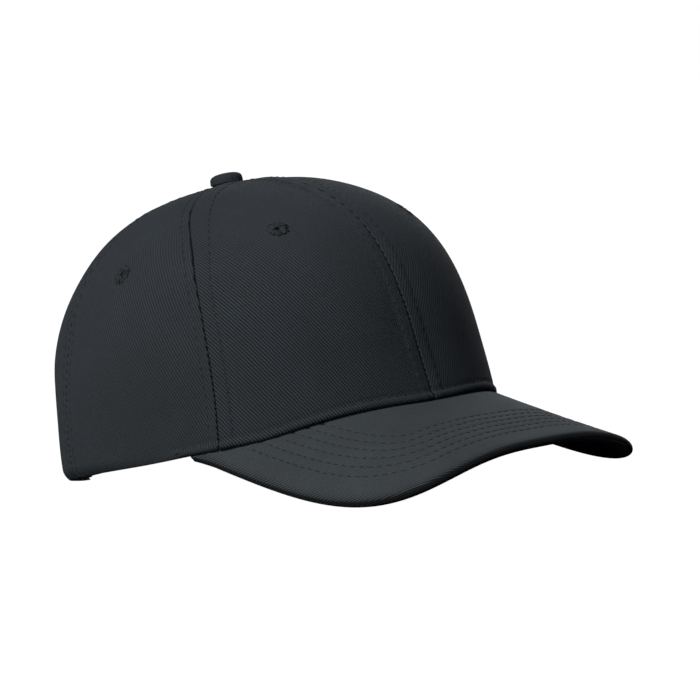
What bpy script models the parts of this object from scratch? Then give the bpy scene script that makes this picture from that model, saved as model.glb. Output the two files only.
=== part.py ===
"""Six-panel baseball cap with a curved visor, a fabric-covered button and a strap-and-buckle closure.

All shapes are first made in the cap's own frame, in millimetres: the hem lies in z = 0, the front
(the visor) looks towards -Y and +X is the wearer's left. At the end everything is pitched front-up
about X until the cap stands on the two sides of its visor and on the back of its hem.
Angles called theta run round the cap from the front (0) through the wearer's left (90 degrees).
Angles called psi run round the centre of the round back of the hem, from straight back towards +X.
"""

import math

import bpy
import numpy as np

MM = 0.001

# The hem line: a four-centre oval, round at both ends.
HALF_LENGTH = 100.0
HALF_WIDTH = 89.0
END_RADIUS = 84.8
BACK_CENTRE_Y = HALF_LENGTH - END_RADIUS

# The crown: a low wall, then a dome that leans back to the button.
CROWN_HEIGHT = 114.5
BUTTON_Y = 8.0
WALL_FRONT = 29.7
WALL_BACK = 27.5
DOME_OUT_FRONT, DOME_UP_FRONT = 2.16, 2.42
DOME_OUT_BACK, DOME_UP_BACK = 2.77, 1.77
LEAN_FRONT = -0.063
LEAN_BACK = 0.012
FRONT_BULGE, BULGE_AT = 1.26, 0.373
TOP_LIFT, TOP_LIFT_REACH = 1.25, 0.222
TOP_SLIDE, TOP_SLIDE_REACH = 3.6, 45.0
PUFF_BACK, PUFF_FRONT = 1.92, 4.24
PUFF_SHAPE, PUFF_LEVEL = 0.956, 0.682
PLAIN_HEM = 26.0
WALL_ANGLE = 0.35
PANELS = 6

# The visor: a sheet bent about the front-to-back direction and tilted down.
VISOR_HALF_ANGLE = math.radians(69.8)
VISOR_RISE = 34.0
VISOR_BEND = 2.91
VISOR_SLOPE = 0.4635
VISOR_SAG = 0.00025
VISOR_REACH = 62.0
VISOR_SQUARENESS = 4.05
VISOR_THICKNESS = 4.3
VISOR_COVER = 0.75
VISOR_GAP = 0.36

# Cloth layers of the crown, as depths below the outside of the panels.
PANEL_CLOTH = (0.0, 1.2)
STIFFENER = (1.75, 2.5)
SEAM_TAPE = (3.2, 3.8)
ARCH_TAPE = (2.3, 2.9)
HEM_FOLD = (2.0, 3.9)
STRAP = (1.7, 2.9)
SWEATBAND = (4.6, 5.7)
LABEL = (6.0, 6.3)
SEAM_HALF_GAP = 0.15
TOP_HOLE_RADIUS = 2.2
TAPE_WIDTH = 12.0
TAPE_TOP_RADIUS = 14.5
STIFFENER_TOP_RADIUS = 22.0
SWEATBAND_HEIGHT = 34.0
HEM_FOLD_HEIGHT = 7.0

# The opening at the back and the closure that bridges it.
ARCH_HALF_WIDTH = 44.0
ARCH_HEIGHT = 49.0
ARCH_ROUNDNESS = 2.2
POCKET_END = math.radians(60.0)
STRAP_BOTTOM, STRAP_TOP = 6.0, 25.0
STRAP_FROM, STRAP_TO = math.radians(-52.0), math.radians(44.0)
BUCKLE_FROM, BUCKLE_TO = math.radians(7.0), math.radians(25.0)
LEVER_TIP = math.radians(7.4)
LEVER_PIN_PSI = math.radians(19.6)
LEVER_PIN_DEPTH = -0.1
CROSSBAR_PSI = math.radians(23.8)
CROSSBAR_DEPTH = -0.4
BUCKLE_PLATE = (3.25, 4.05)
BUCKLE_WALL = 1.2
BUCKLE_SIDE_GAP = 0.5
BUCKLE_PROUD = -1.3

# Eyelets and button.
EYELET_LEVEL = 0.527
EYELET_HOLE = 1.3
EYELET_RADIUS = 4.6
BUTTON_RADIUS = 7.3

BLACK_TWILL = (0.030, 0.034, 0.038)
BLACK_COTTON = (0.018, 0.019, 0.021)
PALE_BUCKRAM = (0.62, 0.60, 0.55)
PLASTIC_BOARD = (0.55, 0.56, 0.57)
BLACK_THREAD = (0.015, 0.016, 0.018)
LABEL_WHITE = (0.75, 0.74, 0.71)
STEEL = (0.56, 0.57, 0.58)

pieces = []


def smooth_step(value):
    value = np.clip(value, 0.0, 1.0)
    return value * value * (3.0 - 2.0 * value)


# ---- the surfaces -------------------------------------------------------------------------------


def hem_xy(theta):
    """The hem oval at polar angle theta."""
    side_radius = (HALF_WIDTH**2 + BACK_CENTRE_Y**2 - END_RADIUS**2) / (2.0 * (HALF_WIDTH - END_RADIUS))
    side_centre = side_radius - HALF_WIDTH
    meeting = math.atan2(side_centre, BACK_CENTRE_Y)
    meeting_x = END_RADIUS * math.sin(meeting)
    meeting_y = BACK_CENTRE_Y + END_RADIUS * math.cos(meeting)
    x, y = np.sin(theta), -np.cos(theta)
    along = np.abs(y) * BACK_CENTRE_Y
    end_reach = along + np.sqrt(along**2 - BACK_CENTRE_Y**2 + END_RADIUS**2)
    across = -np.abs(x) * side_centre
    side_reach = across + np.sqrt(across**2 - side_centre**2 + side_radius**2)
    at_end = np.arctan2(np.abs(x), np.abs(y)) < math.atan2(meeting_x, meeting_y)
    reach = np.where(at_end, end_reach, side_reach)
    return x * reach, y * reach


VISOR_CORNER_X = float(hem_xy(np.array(VISOR_HALF_ANGLE))[0])
VISOR_CORNER_Y = float(hem_xy(np.array(VISOR_HALF_ANGLE))[1])


def visor_height(x, y):
    """Height of the visor's top face over the hem plane."""
    forward = np.maximum(VISOR_CORNER_Y - y, 0.0)
    arch = VISOR_RISE * (1.0 - (np.abs(x) / VISOR_CORNER_X) ** VISOR_BEND)
    return arch - VISOR_SLOPE * forward + VISOR_SAG * forward**2


def front_weight(theta):
    """1 at the front of the crown, 0 at its back."""
    return smooth_step(0.5 + 0.575 * np.cos(theta))


def between(back, front, weight):
    return back + (front - back) * weight


def dome(theta, phi):
    """Crown without its soft puffs: phi < 0 is the low wall, phi = 90 degrees the button."""
    weight = front_weight(theta)
    hem_x, hem_y = hem_xy(theta)
    wall = between(WALL_BACK, WALL_FRONT, weight)
    out = between(DOME_OUT_BACK, DOME_OUT_FRONT, weight)
    rise = between(DOME_UP_BACK, DOME_UP_FRONT, weight)
    lean = between(LEAN_BACK, LEAN_FRONT, weight)
    above = np.clip(phi, 0.0, math.pi / 2)
    reach = np.cos(above) ** (2.0 / out)
    z = wall + (CROWN_HEIGHT - wall) * np.sin(above) ** (2.0 / rise)
    z = np.where(phi < 0.0, wall * (1.0 + phi / WALL_ANGLE), z)
    level = np.clip(z / CROWN_HEIGHT, 0.0, 1.0)
    calm = between(smooth_step((z - PLAIN_HEM) / 30.0), 1.0, weight)
    leaning = 1.0 + lean * np.sin(math.pi * level) * calm
    return hem_x * reach * leaning, BUTTON_Y + (hem_y - BUTTON_Y) * reach * leaning, z, reach


def phi_at(theta, z):
    """The phi at which the crown over theta has this height."""
    weight = front_weight(theta)
    wall = between(WALL_BACK, WALL_FRONT, weight)
    rise = between(DOME_UP_BACK, DOME_UP_FRONT, weight)
    up = np.clip((z - wall) / (CROWN_HEIGHT - wall), 0.0, 1.0)
    return np.where(z > wall, np.arcsin(up ** (rise / 2.0)), (z / wall - 1.0) * WALL_ANGLE)


def wrapped(theta):
    """The unsigned angle from the front, 0 to pi."""
    return np.abs(np.arctan2(np.sin(theta), np.cos(theta)))


def edge_height(theta):
    """Height of the crown's lower edge: the visor's top face at the front, the flat hem elsewhere."""
    z = np.zeros_like(theta)
    for _ in range(6):
        x, y, _z, _reach = dome(theta, phi_at(theta, z))
        z = np.where(wrapped(theta) < VISOR_HALF_ANGLE, np.maximum(visor_height(x, y), 0.0), 0.0)
    return z


def seam_sweep(theta, phi):
    """The seams between front and side panels swing forward low down and back near the button."""
    x, y, z, _reach = dome(theta, phi)
    low = 2.3 * np.sin(math.pi * np.clip(z / 78.0, 0.0, 1.0))
    high = 4.2 * np.sin(math.pi * np.clip((z - 78.0) / 40.0, 0.0, 1.0) ** 1.9)
    away = np.clip(np.hypot(x, y - BUTTON_Y), 12.0, None)
    round_way = np.arctan2(np.sin(theta), np.cos(theta))
    near = np.exp(-(((np.abs(round_way) - math.pi / 3.0) / math.radians(22.0)) ** 2))
    return theta - np.sign(round_way) * near * (low - high) / away


def crown_surface(theta, phi):
    """The outside of the crown, panels puffed out between their seams."""
    theta = seam_sweep(theta, phi)
    x, y, z, reach = dome(theta, phi)
    weight = front_weight(theta)
    level = np.clip(z / CROWN_HEIGHT, 0.0, 1.0)
    calm = between(smooth_step((z - PLAIN_HEM) / 30.0), 1.0, weight)
    z = z + FRONT_BULGE * weight * np.exp(-(((reach - BULGE_AT) / 0.25) ** 2))
    z = z + TOP_LIFT * np.exp(-((reach / TOP_LIFT_REACH) ** 2))
    gore = np.abs(np.sin(PANELS / 2.0 * theta)) ** PUFF_SHAPE
    puff = between(PUFF_BACK, PUFF_FRONT, weight) * gore * np.sin(math.pi * level**PUFF_LEVEL) * calm
    away_x, away_y = x, y - BUTTON_Y
    away = np.hypot(away_x, away_y) + 1e-6
    upward = level**1.5
    outward = np.sqrt(np.clip(1.0 - upward**2, 0.0, 1.0))
    x = x + away_x / away * outward * puff
    y = y + away_y / away * outward * puff
    return np.stack([x, y, z + upward * puff], -1)


def crown_skin(theta, phi, depth):
    """A point this far below the outside of the crown."""
    theta, phi = np.broadcast_arrays(np.asarray(theta, float), np.asarray(phi, float))
    step_round, step_up = 0.01, 0.012
    high = np.minimum(phi + step_up, math.pi / 2 - 0.004)
    low = high - 2.0 * step_up
    round_way = crown_surface(theta + step_round, phi) - crown_surface(theta - step_round, phi)
    up_way = crown_surface(theta, high) - crown_surface(theta, low)
    normal = np.cross(round_way, up_way)
    normal /= np.linalg.norm(normal, axis=-1, keepdims=True)
    return crown_surface(theta, phi) - normal * depth


def phi_at_radius(theta, radius):
    """The phi at which the crown is this far from the button's axis, near the top."""
    weight = front_weight(theta)
    out = between(DOME_OUT_BACK, DOME_OUT_FRONT, weight)
    hem_x, hem_y = hem_xy(theta)
    reach = np.hypot(hem_x, hem_y - BUTTON_Y)
    return np.arccos((radius / reach) ** (out / 2.0))


def back_theta(x):
    """The theta of the point of the round back hem with this x."""
    y = BACK_CENTRE_Y + np.sqrt(END_RADIUS**2 - np.asarray(x, float) ** 2)
    return np.arctan2(x, -y)


def strap_point(psi, depth, z):
    """A point by angle about the strap's own axis, depth inside the hem's circle, and height."""
    radius = END_RADIUS - depth
    return (radius * math.sin(psi), BACK_CENTRE_Y + radius * math.cos(psi), z)


# ---- the mesh makers ----------------------------------------------------------------------------


def keep(name, verts, faces, colour, roughness=0.9, metallic=0.0, origin=None, smooth=False):
    pieces.append(
        {
            "name": name,
            "verts": np.array(verts, float),
            "faces": faces,
            "colour": colour,
            "roughness": roughness,
            "metallic": metallic,
            "origin": origin,
            "smooth": smooth,
        }
    )


def sheet_solid(name, outer, inner, colour, hole=None, **look):
    """A closed sheet between two grids of points; hole = (column, row, outer ring, inner ring)."""
    columns, rows = outer.shape[:2]
    count = columns * rows
    verts = [tuple(p) for p in outer.reshape(-1, 3)] + [tuple(p) for p in inner.reshape(-1, 3)]
    faces = []
    for i in range(columns - 1):
        for j in range(rows - 1):
            if hole and (i, j) == hole[:2]:
                continue
            a, b = i * rows + j, (i + 1) * rows + j
            faces.append((a, b, b + 1, a + 1))
            faces.append((count + a, count + a + 1, count + b + 1, count + b))
    rim = [(i, 0) for i in range(columns)]
    rim += [(columns - 1, j) for j in range(1, rows)]
    rim += [(i, rows - 1) for i in range(columns - 2, -1, -1)]
    rim += [(0, j) for j in range(rows - 2, 0, -1)]
    flat = [i * rows + j for i, j in rim]
    for a, b in zip(flat, flat[1:] + flat[:1]):
        faces.append((b, a, count + a, count + b))
    if hole:
        faces += pierce(verts, hole, rows, count)
    keep(name, verts, faces, colour, **look)


def pierce(verts, hole, rows, count):
    """Faces of one grid cell with a round hole through it."""
    i, j, ring_out, ring_in = hole
    a, b = i * rows + j, (i + 1) * rows + j
    corners = [a, b, b + 1, a + 1]
    many = len(ring_out)
    first_out = len(verts)
    verts.extend(ring_out)
    first_in = len(verts)
    verts.extend(ring_in)
    faces = []
    for k in range(many):
        n = (k + 1) % many
        corner = corners[(k * 4 // many) % 4]
        after = corners[(n * 4 // many) % 4]
        faces.append((corner, first_out + n, first_out + k))
        faces.append((count + corner, first_in + k, first_in + n))
        if after != corner:
            faces.append((corner, after, first_out + n))
            faces.append((count + corner, first_in + n, count + after))
        faces.append((first_out + k, first_out + n, first_in + n, first_in + k))
    return faces


def rings_solid(name, rings, colour, **look):
    """A closed solid through a row of equal rings, capped at both ends."""
    many = len(rings[0])
    verts = [p for ring in rings for p in ring]
    faces = []
    for r in range(len(rings) - 1):
        for k in range(many):
            n = (k + 1) % many
            faces.append((r * many + k, r * many + n, (r + 1) * many + n, (r + 1) * many + k))
    faces.append(tuple(range(many - 1, -1, -1)))
    last = (len(rings) - 1) * many
    faces.append(tuple(range(last, last + many)))
    keep(name, verts, faces, colour, **look)


def turned_solid(name, profile, centre, colour, sides=24, **look):
    """A solid of revolution about the vertical; the profile runs (radius, z) and ends may be on the axis."""
    verts, faces, start = [], [], []
    for radius, z in profile:
        start.append(len(verts))
        if radius == 0.0:
            verts.append((centre[0], centre[1], centre[2] + z))
            continue
        for k in range(sides):
            a = 2.0 * math.pi * k / sides
            verts.append((centre[0] + radius * math.cos(a), centre[1] + radius * math.sin(a), centre[2] + z))
    closed = profile[0][0] > 0.0
    pairs = list(zip(range(len(profile)), range(1, len(profile))))
    if closed:
        pairs.append((len(profile) - 1, 0))
    for p, q in pairs:
        for k in range(sides):
            n = (k + 1) % sides
            if profile[p][0] == 0.0:
                faces.append((start[p], start[q] + k, start[q] + n))
            elif profile[q][0] == 0.0:
                faces.append((start[p] + k, start[q], start[p] + n))
            else:
                faces.append((start[p] + k, start[q] + k, start[q] + n, start[p] + n))
    keep(name, verts, faces, colour, **look)


def swept_strap(name, section, psis, colour, **look):
    """A (depth, z) section swept round the strap's axis."""
    rings = [[strap_point(psi, depth, z) for depth, z in section] for psi in psis]
    rings_solid(name, rings, colour, **look)


def upright_strap(name, outline, bottom, top, colour, **look):
    """A (psi, depth) outline drawn up from one height to another."""
    rings = [[strap_point(psi, depth, z) for psi, depth in outline] for z in (bottom, top)]
    rings_solid(name, rings, colour, **look)


# ---- the crown ----------------------------------------------------------------------------------


def arch_height(x):
    """Height of the back opening over this x."""
    inside = np.clip(1.0 - (np.abs(x) / ARCH_HALF_WIDTH) ** ARCH_ROUNDNESS, 0.0, 1.0)
    return ARCH_HEIGHT * inside ** (1.0 / ARCH_ROUNDNESS)


def panel_columns(middle, is_back):
    """Thetas across a panel, with one cell centred on its middle for the eyelet."""
    half = math.pi / PANELS
    side = 1.0 if math.sin(middle) > 0.0 else -1.0
    if not is_back:
        return middle + half * np.linspace(-1.0, 1.0, 10), 4
    arch_x = ARCH_HALF_WIDTH * np.cos(np.linspace(0.0, math.pi / 2, 9)) ** 1.1
    arch = np.abs(back_theta(arch_x))
    eyelet_cell = np.array([middle * side - 0.052, middle * side + 0.052])
    before = np.linspace(math.radians(120.0), eyelet_cell[0], 6)
    thetas = np.concatenate([before, eyelet_cell[1:], arch[arch > eyelet_cell[1] + 0.012]])
    return (thetas, 5) if side > 0 else (-thetas[::-1], len(thetas) - 7)


def make_panel(name, middle, is_back=False):
    thetas, eyelet_column = panel_columns(middle, is_back)
    rows = 11
    bottom = phi_at(thetas, edge_height(thetas))
    if is_back:
        hem_x, _hem_y = hem_xy(thetas)
        bottom = np.maximum(bottom, phi_at(thetas, arch_height(hem_x)))
    top = phi_at_radius(thetas, TOP_HOLE_RADIUS)
    phi = bottom[:, None] + (top - bottom)[:, None] * np.linspace(0.0, 1.0, rows)[None, :]
    theta = np.repeat(thetas[:, None], rows, axis=1)
    flat = crown_surface(theta, phi)
    gap = SEAM_HALF_GAP / np.hypot(flat[..., 0], flat[..., 1] - BUTTON_Y)
    theta[0] += gap[0]
    theta[-1] -= gap[-1]
    row = 5
    hole = eyelet_rings(theta, phi, eyelet_column, row)
    outer = crown_skin(theta, phi, PANEL_CLOTH[0])
    inner = crown_skin(theta, phi, PANEL_CLOTH[1])
    sheet_solid(name, outer, inner, BLACK_TWILL, hole=hole, smooth=True)


def eyelet_rings(theta, phi, column, row, depths=PANEL_CLOTH, sides=12):
    """The two rims of the eyelet's hole, starting over the cell's first corner."""
    theta_mid = theta[column : column + 2, row : row + 2].mean()
    phi_mid = phi[column : column + 2, row : row + 2].mean()
    centre, right, up, _normal = crown_frame(theta_mid, phi_mid)
    reach_round = np.linalg.norm(crown_surface(theta_mid + 0.01, phi_mid) - crown_surface(theta_mid - 0.01, phi_mid))
    reach_up = np.linalg.norm(crown_surface(theta_mid, phi_mid + 0.01) - crown_surface(theta_mid, phi_mid - 0.01))
    rings = []
    for depth in depths:
        ring = []
        for k in range(sides):
            a = math.radians(225.0) + 2.0 * math.pi * k / sides
            d_theta = EYELET_HOLE * math.cos(a) / reach_round * 0.02
            d_phi = EYELET_HOLE * math.sin(a) / reach_up * 0.02
            ring.append(tuple(crown_skin(theta_mid + d_theta, phi_mid + d_phi, depth)))
        rings.append(ring)
    return column, row, rings[0], rings[1]


def crown_frame(theta, phi, depth=0.0):
    """Centre, sideways, upward and outward directions on the crown."""
    centre = crown_skin(theta, phi, depth)
    right = crown_skin(theta + 0.02, phi, depth) - crown_skin(theta - 0.02, phi, depth)
    right /= np.linalg.norm(right)
    up = crown_skin(theta, phi + 0.02, depth) - crown_skin(theta, phi - 0.02, depth)
    normal = np.cross(right, up)
    normal /= np.linalg.norm(normal)
    return centre, right, np.cross(normal, right), normal


def make_stiffener(name, side):
    """Stiff open-weave lining behind one front panel."""
    thetas = math.radians(30.0) * side + math.radians(28.4) * np.linspace(-1.0, 1.0, 10)
    bottom = phi_at(thetas, edge_height(thetas) + HEM_FOLD_HEIGHT + 1.2)
    low = phi_at(thetas, edge_height(thetas))
    top = phi_at_radius(thetas, STIFFENER_TOP_RADIUS)
    full_top = phi_at_radius(thetas, TOP_HOLE_RADIUS)
    steps = np.linspace(0.0, 1.0, 11)[None, :]
    phi = low[:, None] + (full_top - low)[:, None] * steps
    phi = np.clip(phi, bottom[:, None], top[:, None])
    phi[:, 1:-1] = np.where(phi[:, 1:-1] <= bottom[:, None], (bottom * 0.5)[:, None] + phi[:, 2:] * 0.5, phi[:, 1:-1])
    phi = spread_rows(phi)
    theta = np.repeat(thetas[:, None], phi.shape[1], axis=1)
    hole = eyelet_rings(theta, phi, 4, eyelet_row(phi[4], thetas[4], low[4], full_top[4]), STIFFENER)
    outer = crown_skin(theta, phi, STIFFENER[0])
    inner = crown_skin(theta, phi, STIFFENER[1])
    sheet_solid(name, outer, inner, PALE_BUCKRAM, hole=hole)


def spread_rows(phi):
    """Nine even rows between each column's first and last phi, then rows aligned with the panel's eyelet cell."""
    first, last = phi[:, 0], phi[:, -1]
    low_row, high_row = phi[:, 5], phi[:, 6]
    below = first[:, None] + (low_row - first)[:, None] * np.linspace(0.0, 1.0, 5)[None, :]
    above = high_row[:, None] + (last - high_row)[:, None] * np.linspace(0.0, 1.0, 4)[None, :]
    return np.concatenate([below, above], axis=1)


def eyelet_row(_phi, _theta, _low, _top):
    """The row of the stiffener's grid that lines up with the panel's eyelet."""
    return 4


def make_seam_tape(name, theta_seam, is_back=False):
    """Narrow tape over one seam, inside the crown."""
    top = float(phi_at_radius(np.array(theta_seam), TAPE_TOP_RADIUS))
    lift = HEM_FOLD_HEIGHT + 1.2
    base = ARCH_HEIGHT + 11.5 if is_back else float(edge_height(np.array(theta_seam))) + lift
    bottom = float(phi_at(np.array(theta_seam), np.array(base)))
    phi = np.linspace(bottom, top, 12)
    middle = crown_surface(np.full_like(phi, theta_seam), phi)
    radius = np.hypot(middle[:, 0], middle[:, 1] - BUTTON_Y)
    across = np.linspace(-0.5, 0.5, 5) * TAPE_WIDTH
    theta = theta_seam + across[:, None] / radius[None, :]
    phis = np.repeat(phi[None, :], len(across), axis=0)
    outer = crown_skin(theta, phis, SEAM_TAPE[0])
    inner = crown_skin(theta, phis, SEAM_TAPE[1])
    sheet_solid(name, outer, inner, BLACK_COTTON)


def make_band(name, depths, low, high, end_psi, colour, columns=64, rows=3):
    """A band round the inside of the crown, from one side of the back opening to the other."""
    end_x = END_RADIUS * math.sin(end_psi)
    end = float(np.abs(back_theta(end_x)))
    thetas = np.linspace(-end, end, columns)
    edge = edge_height(thetas)
    z = edge[:, None] + np.linspace(low, high, rows)[None, :]
    theta = np.repeat(thetas[:, None], rows, axis=1)
    phi = phi_at(theta, z)
    sheet_solid(name, crown_skin(theta, phi, depths[0]), crown_skin(theta, phi, depths[1]), colour, smooth=True)


def make_arch_tape():
    """Tape round the inside edge of the back opening, above the strap."""
    turn = np.linspace(math.radians(41.0), math.radians(139.0), 23)
    width = np.linspace(1.0, 10.0, 3)
    x = (ARCH_HALF_WIDTH + width[None, :]) * np.sign(np.cos(turn))[:, None] * np.abs(np.cos(turn))[:, None] ** 0.9
    z = (ARCH_HEIGHT + width[None, :]) * np.sin(turn)[:, None] ** 0.9
    theta = back_theta(x)
    theta = np.where(theta < 0.0, theta + 2.0 * math.pi, theta)
    phi = phi_at(theta, z)
    outer = crown_skin(theta, phi, ARCH_TAPE[1])
    inner = crown_skin(theta, phi, ARCH_TAPE[0])
    sheet_solid("arch_tape", inner, outer, BLACK_COTTON)


def make_label():
    """Blank care label sewn to the inside of the sweatband."""
    theta = np.repeat(np.radians(np.linspace(101.0, 117.0, 4))[:, None], 4, axis=1)
    z = np.repeat(np.linspace(5.0, 30.0, 4)[None, :], 4, axis=0)
    phi = phi_at(theta, z)
    sheet_solid("care_label", crown_skin(theta, phi, LABEL[0]), crown_skin(theta, phi, LABEL[1]), LABEL_WHITE)


def make_eyelet(name, theta, phi):
    """Sewn ring round an eyelet's hole."""
    centre, right, up, normal = crown_frame(theta, phi, -0.14)
    section = ((EYELET_HOLE + 0.25, 0.0), (EYELET_RADIUS, 0.0), (EYELET_RADIUS - 0.5, 0.5), (EYELET_HOLE + 0.6, 0.55))
    sides, verts, faces = 20, [], []
    for k in range(sides):
        a = 2.0 * math.pi * k / sides
        way = right * math.cos(a) + up * math.sin(a)
        for radius, rise in section:
            flat = centre + way * radius
            verts.append(tuple(flat + normal * rise))
    many = len(section)
    for k in range(sides):
        n = (k + 1) % sides
        for m in range(many):
            o = (m + 1) % many
            faces.append((k * many + m, n * many + m, n * many + o, k * many + o))
    keep(name, verts, faces, BLACK_THREAD, smooth=True)


def make_button():
    top = (0.0, BUTTON_Y, CROWN_HEIGHT + TOP_LIFT)
    cover = [
        (0.0, 5.5), (3.2, 5.2), (5.6, 4.3), (6.95, 2.9), (BUTTON_RADIUS, 1.7), (6.9, 0.8), (5.8, 0.6),
        (5.8, 1.15), (6.3, 1.5), (6.3, 2.6), (5.0, 3.6), (2.9, 4.4), (0.0, 4.6),
    ]
    turned_solid("button_cover", cover, top, BLACK_TWILL, smooth=True)
    shell = [
        (0.0, 4.3), (2.8, 4.1), (4.7, 3.3), (5.9, 2.4), (5.9, 1.5), (5.4, 1.3), (4.6, 2.2), (1.2, 2.9),
        (1.2, -4.6), (0.0, -4.6),
    ]
    turned_solid("button_shell", shell, top, STEEL, roughness=0.4, metallic=1.0, smooth=True)
    back = [(1.5, -3.0), (9.5, -4.3), (9.5, -5.2), (1.5, -4.2)]
    turned_solid("button_back", back[::-1], top, STEEL, roughness=0.4, metallic=1.0, smooth=True)


# ---- the visor ----------------------------------------------------------------------------------


def visor_outline(beta):
    """The visor's outer edge: beta 0 at the wearer's left corner, 90 degrees at the front."""
    reach = HALF_LENGTH + VISOR_REACH + VISOR_CORNER_Y
    c, s = np.cos(beta), np.sin(beta)
    power = VISOR_SQUARENESS
    rho = (np.abs(c / VISOR_CORNER_X) ** power + np.abs(s / reach) ** power) ** (-1.0 / power)
    return rho * c, VISOR_CORNER_Y - rho * s


def visor_point(u, v, depth):
    """u runs -1 to 1 from corner to corner, v 0 to 1 from the seam to the outer edge."""
    theta = u * VISOR_HALF_ANGLE
    edge = crown_surface(theta, phi_at(theta, edge_height(theta)))
    out_x, out_y = visor_outline(math.pi / 2 - u * math.pi / 2)
    x = edge[..., 0] * (1.0 - v) + out_x * v
    y = edge[..., 1] * (1.0 - v) + out_y * v
    step = 0.2
    slope_x = (visor_height(x + step, y) - visor_height(x - step, y)) / (2.0 * step)
    slope_y = (visor_height(x, y + step) - visor_height(x, y - step)) / (2.0 * step)
    normal = np.stack([-slope_x, -slope_y, np.ones_like(x)], -1)
    normal /= np.linalg.norm(normal, axis=-1, keepdims=True)
    return np.stack([x, y, visor_height(x, y)], -1) - normal * depth


def visor_sheet(name, path, back_path, reach_u, colour):
    """A visor layer: path and back_path are rows of (millimetres in from the edge or fraction, depth)."""
    u = reach_u * np.sin(np.linspace(-1.0, 1.0, 33) * math.pi / 2)
    theta = u * VISOR_HALF_ANGLE
    edge = crown_surface(theta, phi_at(theta, edge_height(theta)))
    out_x, out_y = visor_outline(math.pi / 2 - u * math.pi / 2)
    width = np.hypot(edge[:, 0] - out_x, edge[:, 1] - out_y)
    grids = []
    for rows in (path, back_path):
        columns = []
        for kind, where, depth in rows:
            if kind == "seam":
                v = where / width
            elif kind == "edge":
                v = 1.0 - where / width
            else:
                v = where + 0.0 * width
            columns.append(visor_point(u, v, depth))
        grids.append(np.stack(columns, 1))
    sheet_solid(name, grids[0], grids[1], colour, smooth=False)


def make_visor():
    full, cover, gap = VISOR_THICKNESS, VISOR_COVER, VISOR_GAP
    lip = full / 2.0 - 0.06
    seam = 0.45
    top = [("seam", seam, 0.0), ("part", 0.35, 0.0), ("part", 0.68, 0.0), ("edge", 0.55, 0.0), ("edge", 0.0, 0.6),
           ("edge", 0.0, lip)]
    top_back = [("seam", seam, cover), ("part", 0.35, cover), ("part", 0.68, cover), ("edge", cover + 0.25, cover),
                ("edge", cover, cover + 0.25), ("edge", cover, lip)]
    visor_sheet("visor_top_cover", top, top_back, 0.955, BLACK_TWILL)
    under = [(kind, where, full - depth) for kind, where, depth in top_back]
    under_back = [(kind, where, full - depth) for kind, where, depth in top]
    visor_sheet("visor_under_cover", under, under_back, 0.955, BLACK_TWILL)
    board = [("seam", seam + 0.8, cover + gap), ("part", 0.35, cover + gap), ("part", 0.68, cover + gap),
             ("edge", cover + gap + 0.2, cover + gap)]
    board_back = [(kind, where, full - depth) for kind, where, depth in board]
    visor_sheet("visor_board", board, board_back, 0.925, PLASTIC_BOARD)


# ---- the closure --------------------------------------------------------------------------------


def make_strap():
    section = [(STRAP[0], STRAP_BOTTOM), (STRAP[1], STRAP_BOTTOM), (STRAP[1], STRAP_TOP), (STRAP[0], STRAP_TOP)]
    psis = np.linspace(STRAP_FROM, STRAP_TO, 33)
    origin = (0.0, BACK_CENTRE_Y, (STRAP_BOTTOM + STRAP_TOP) / 2.0)
    swept_strap("closure_strap", section, psis, BLACK_TWILL, origin=origin)


def curl(centre_psi, centre_depth, radius, start, end, steps):
    """Points of an arc round a pin that is parallel to the strap's axis."""
    points = []
    for k in range(steps + 1):
        a = math.radians(start + (end - start) * k / steps)
        reach = END_RADIUS - centre_depth
        points.append((centre_psi + radius * math.cos(a) / reach, centre_depth - radius * math.sin(a)))
    return points


def make_buckle():
    low = STRAP_BOTTOM - BUCKLE_SIDE_GAP
    high = STRAP_TOP + BUCKLE_SIDE_GAP
    section = [
        (BUCKLE_PLATE[1], low - BUCKLE_WALL), (BUCKLE_PLATE[1], high + BUCKLE_WALL),
        (BUCKLE_PROUD, high + BUCKLE_WALL), (BUCKLE_PROUD, high), (BUCKLE_PLATE[0], high),
        (BUCKLE_PLATE[0], low), (BUCKLE_PROUD, low), (BUCKLE_PROUD, low - BUCKLE_WALL),
    ]
    psis = np.linspace(BUCKLE_FROM, BUCKLE_TO, 9)
    swept_strap("buckle_frame", section, psis, STEEL, roughness=0.35, metallic=1.0)
    bar = curl(CROSSBAR_PSI, CROSSBAR_DEPTH, 0.8, 0.0, 330.0, 11)
    upright_strap("crossbar", bar, low - 0.6, high + 0.6, STEEL)
    pin_origin = strap_point(LEVER_PIN_PSI, LEVER_PIN_DEPTH, (low + high) / 2.0)
    pin = curl(LEVER_PIN_PSI, LEVER_PIN_DEPTH, 0.6, 0.0, 330.0, 11)
    upright_strap("buckle_pin", pin, low + 0.2, high - 0.2, STEEL, roughness=0.35, metallic=1.0)
    face, under = -0.75, 0.25
    lever = lever_outline(face, under)
    upright_strap("buckle_lever", lever, low + 0.35, high - 0.35, STEEL, roughness=0.3, metallic=1.0, origin=pin_origin)


def lever_outline(face, under):
    """Plate and curled barrel of the lever, as (psi, depth)."""
    reach = END_RADIUS - LEVER_PIN_DEPTH
    points = [(LEVER_TIP, under), (LEVER_TIP, face)]
    plate_end = LEVER_PIN_PSI - 1.6 / reach
    points += [(psi, face) for psi in np.linspace(LEVER_TIP, plate_end, 6)[1:]]
    points += curl(LEVER_PIN_PSI, LEVER_PIN_DEPTH, 1.4, 120.0, -150.0, 12)
    points += curl(LEVER_PIN_PSI, LEVER_PIN_DEPTH, 0.85, -150.0, 140.0, 12)
    points += [(psi, under) for psi in np.linspace(plate_end, LEVER_TIP, 6)[:-1]]
    return points


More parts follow.
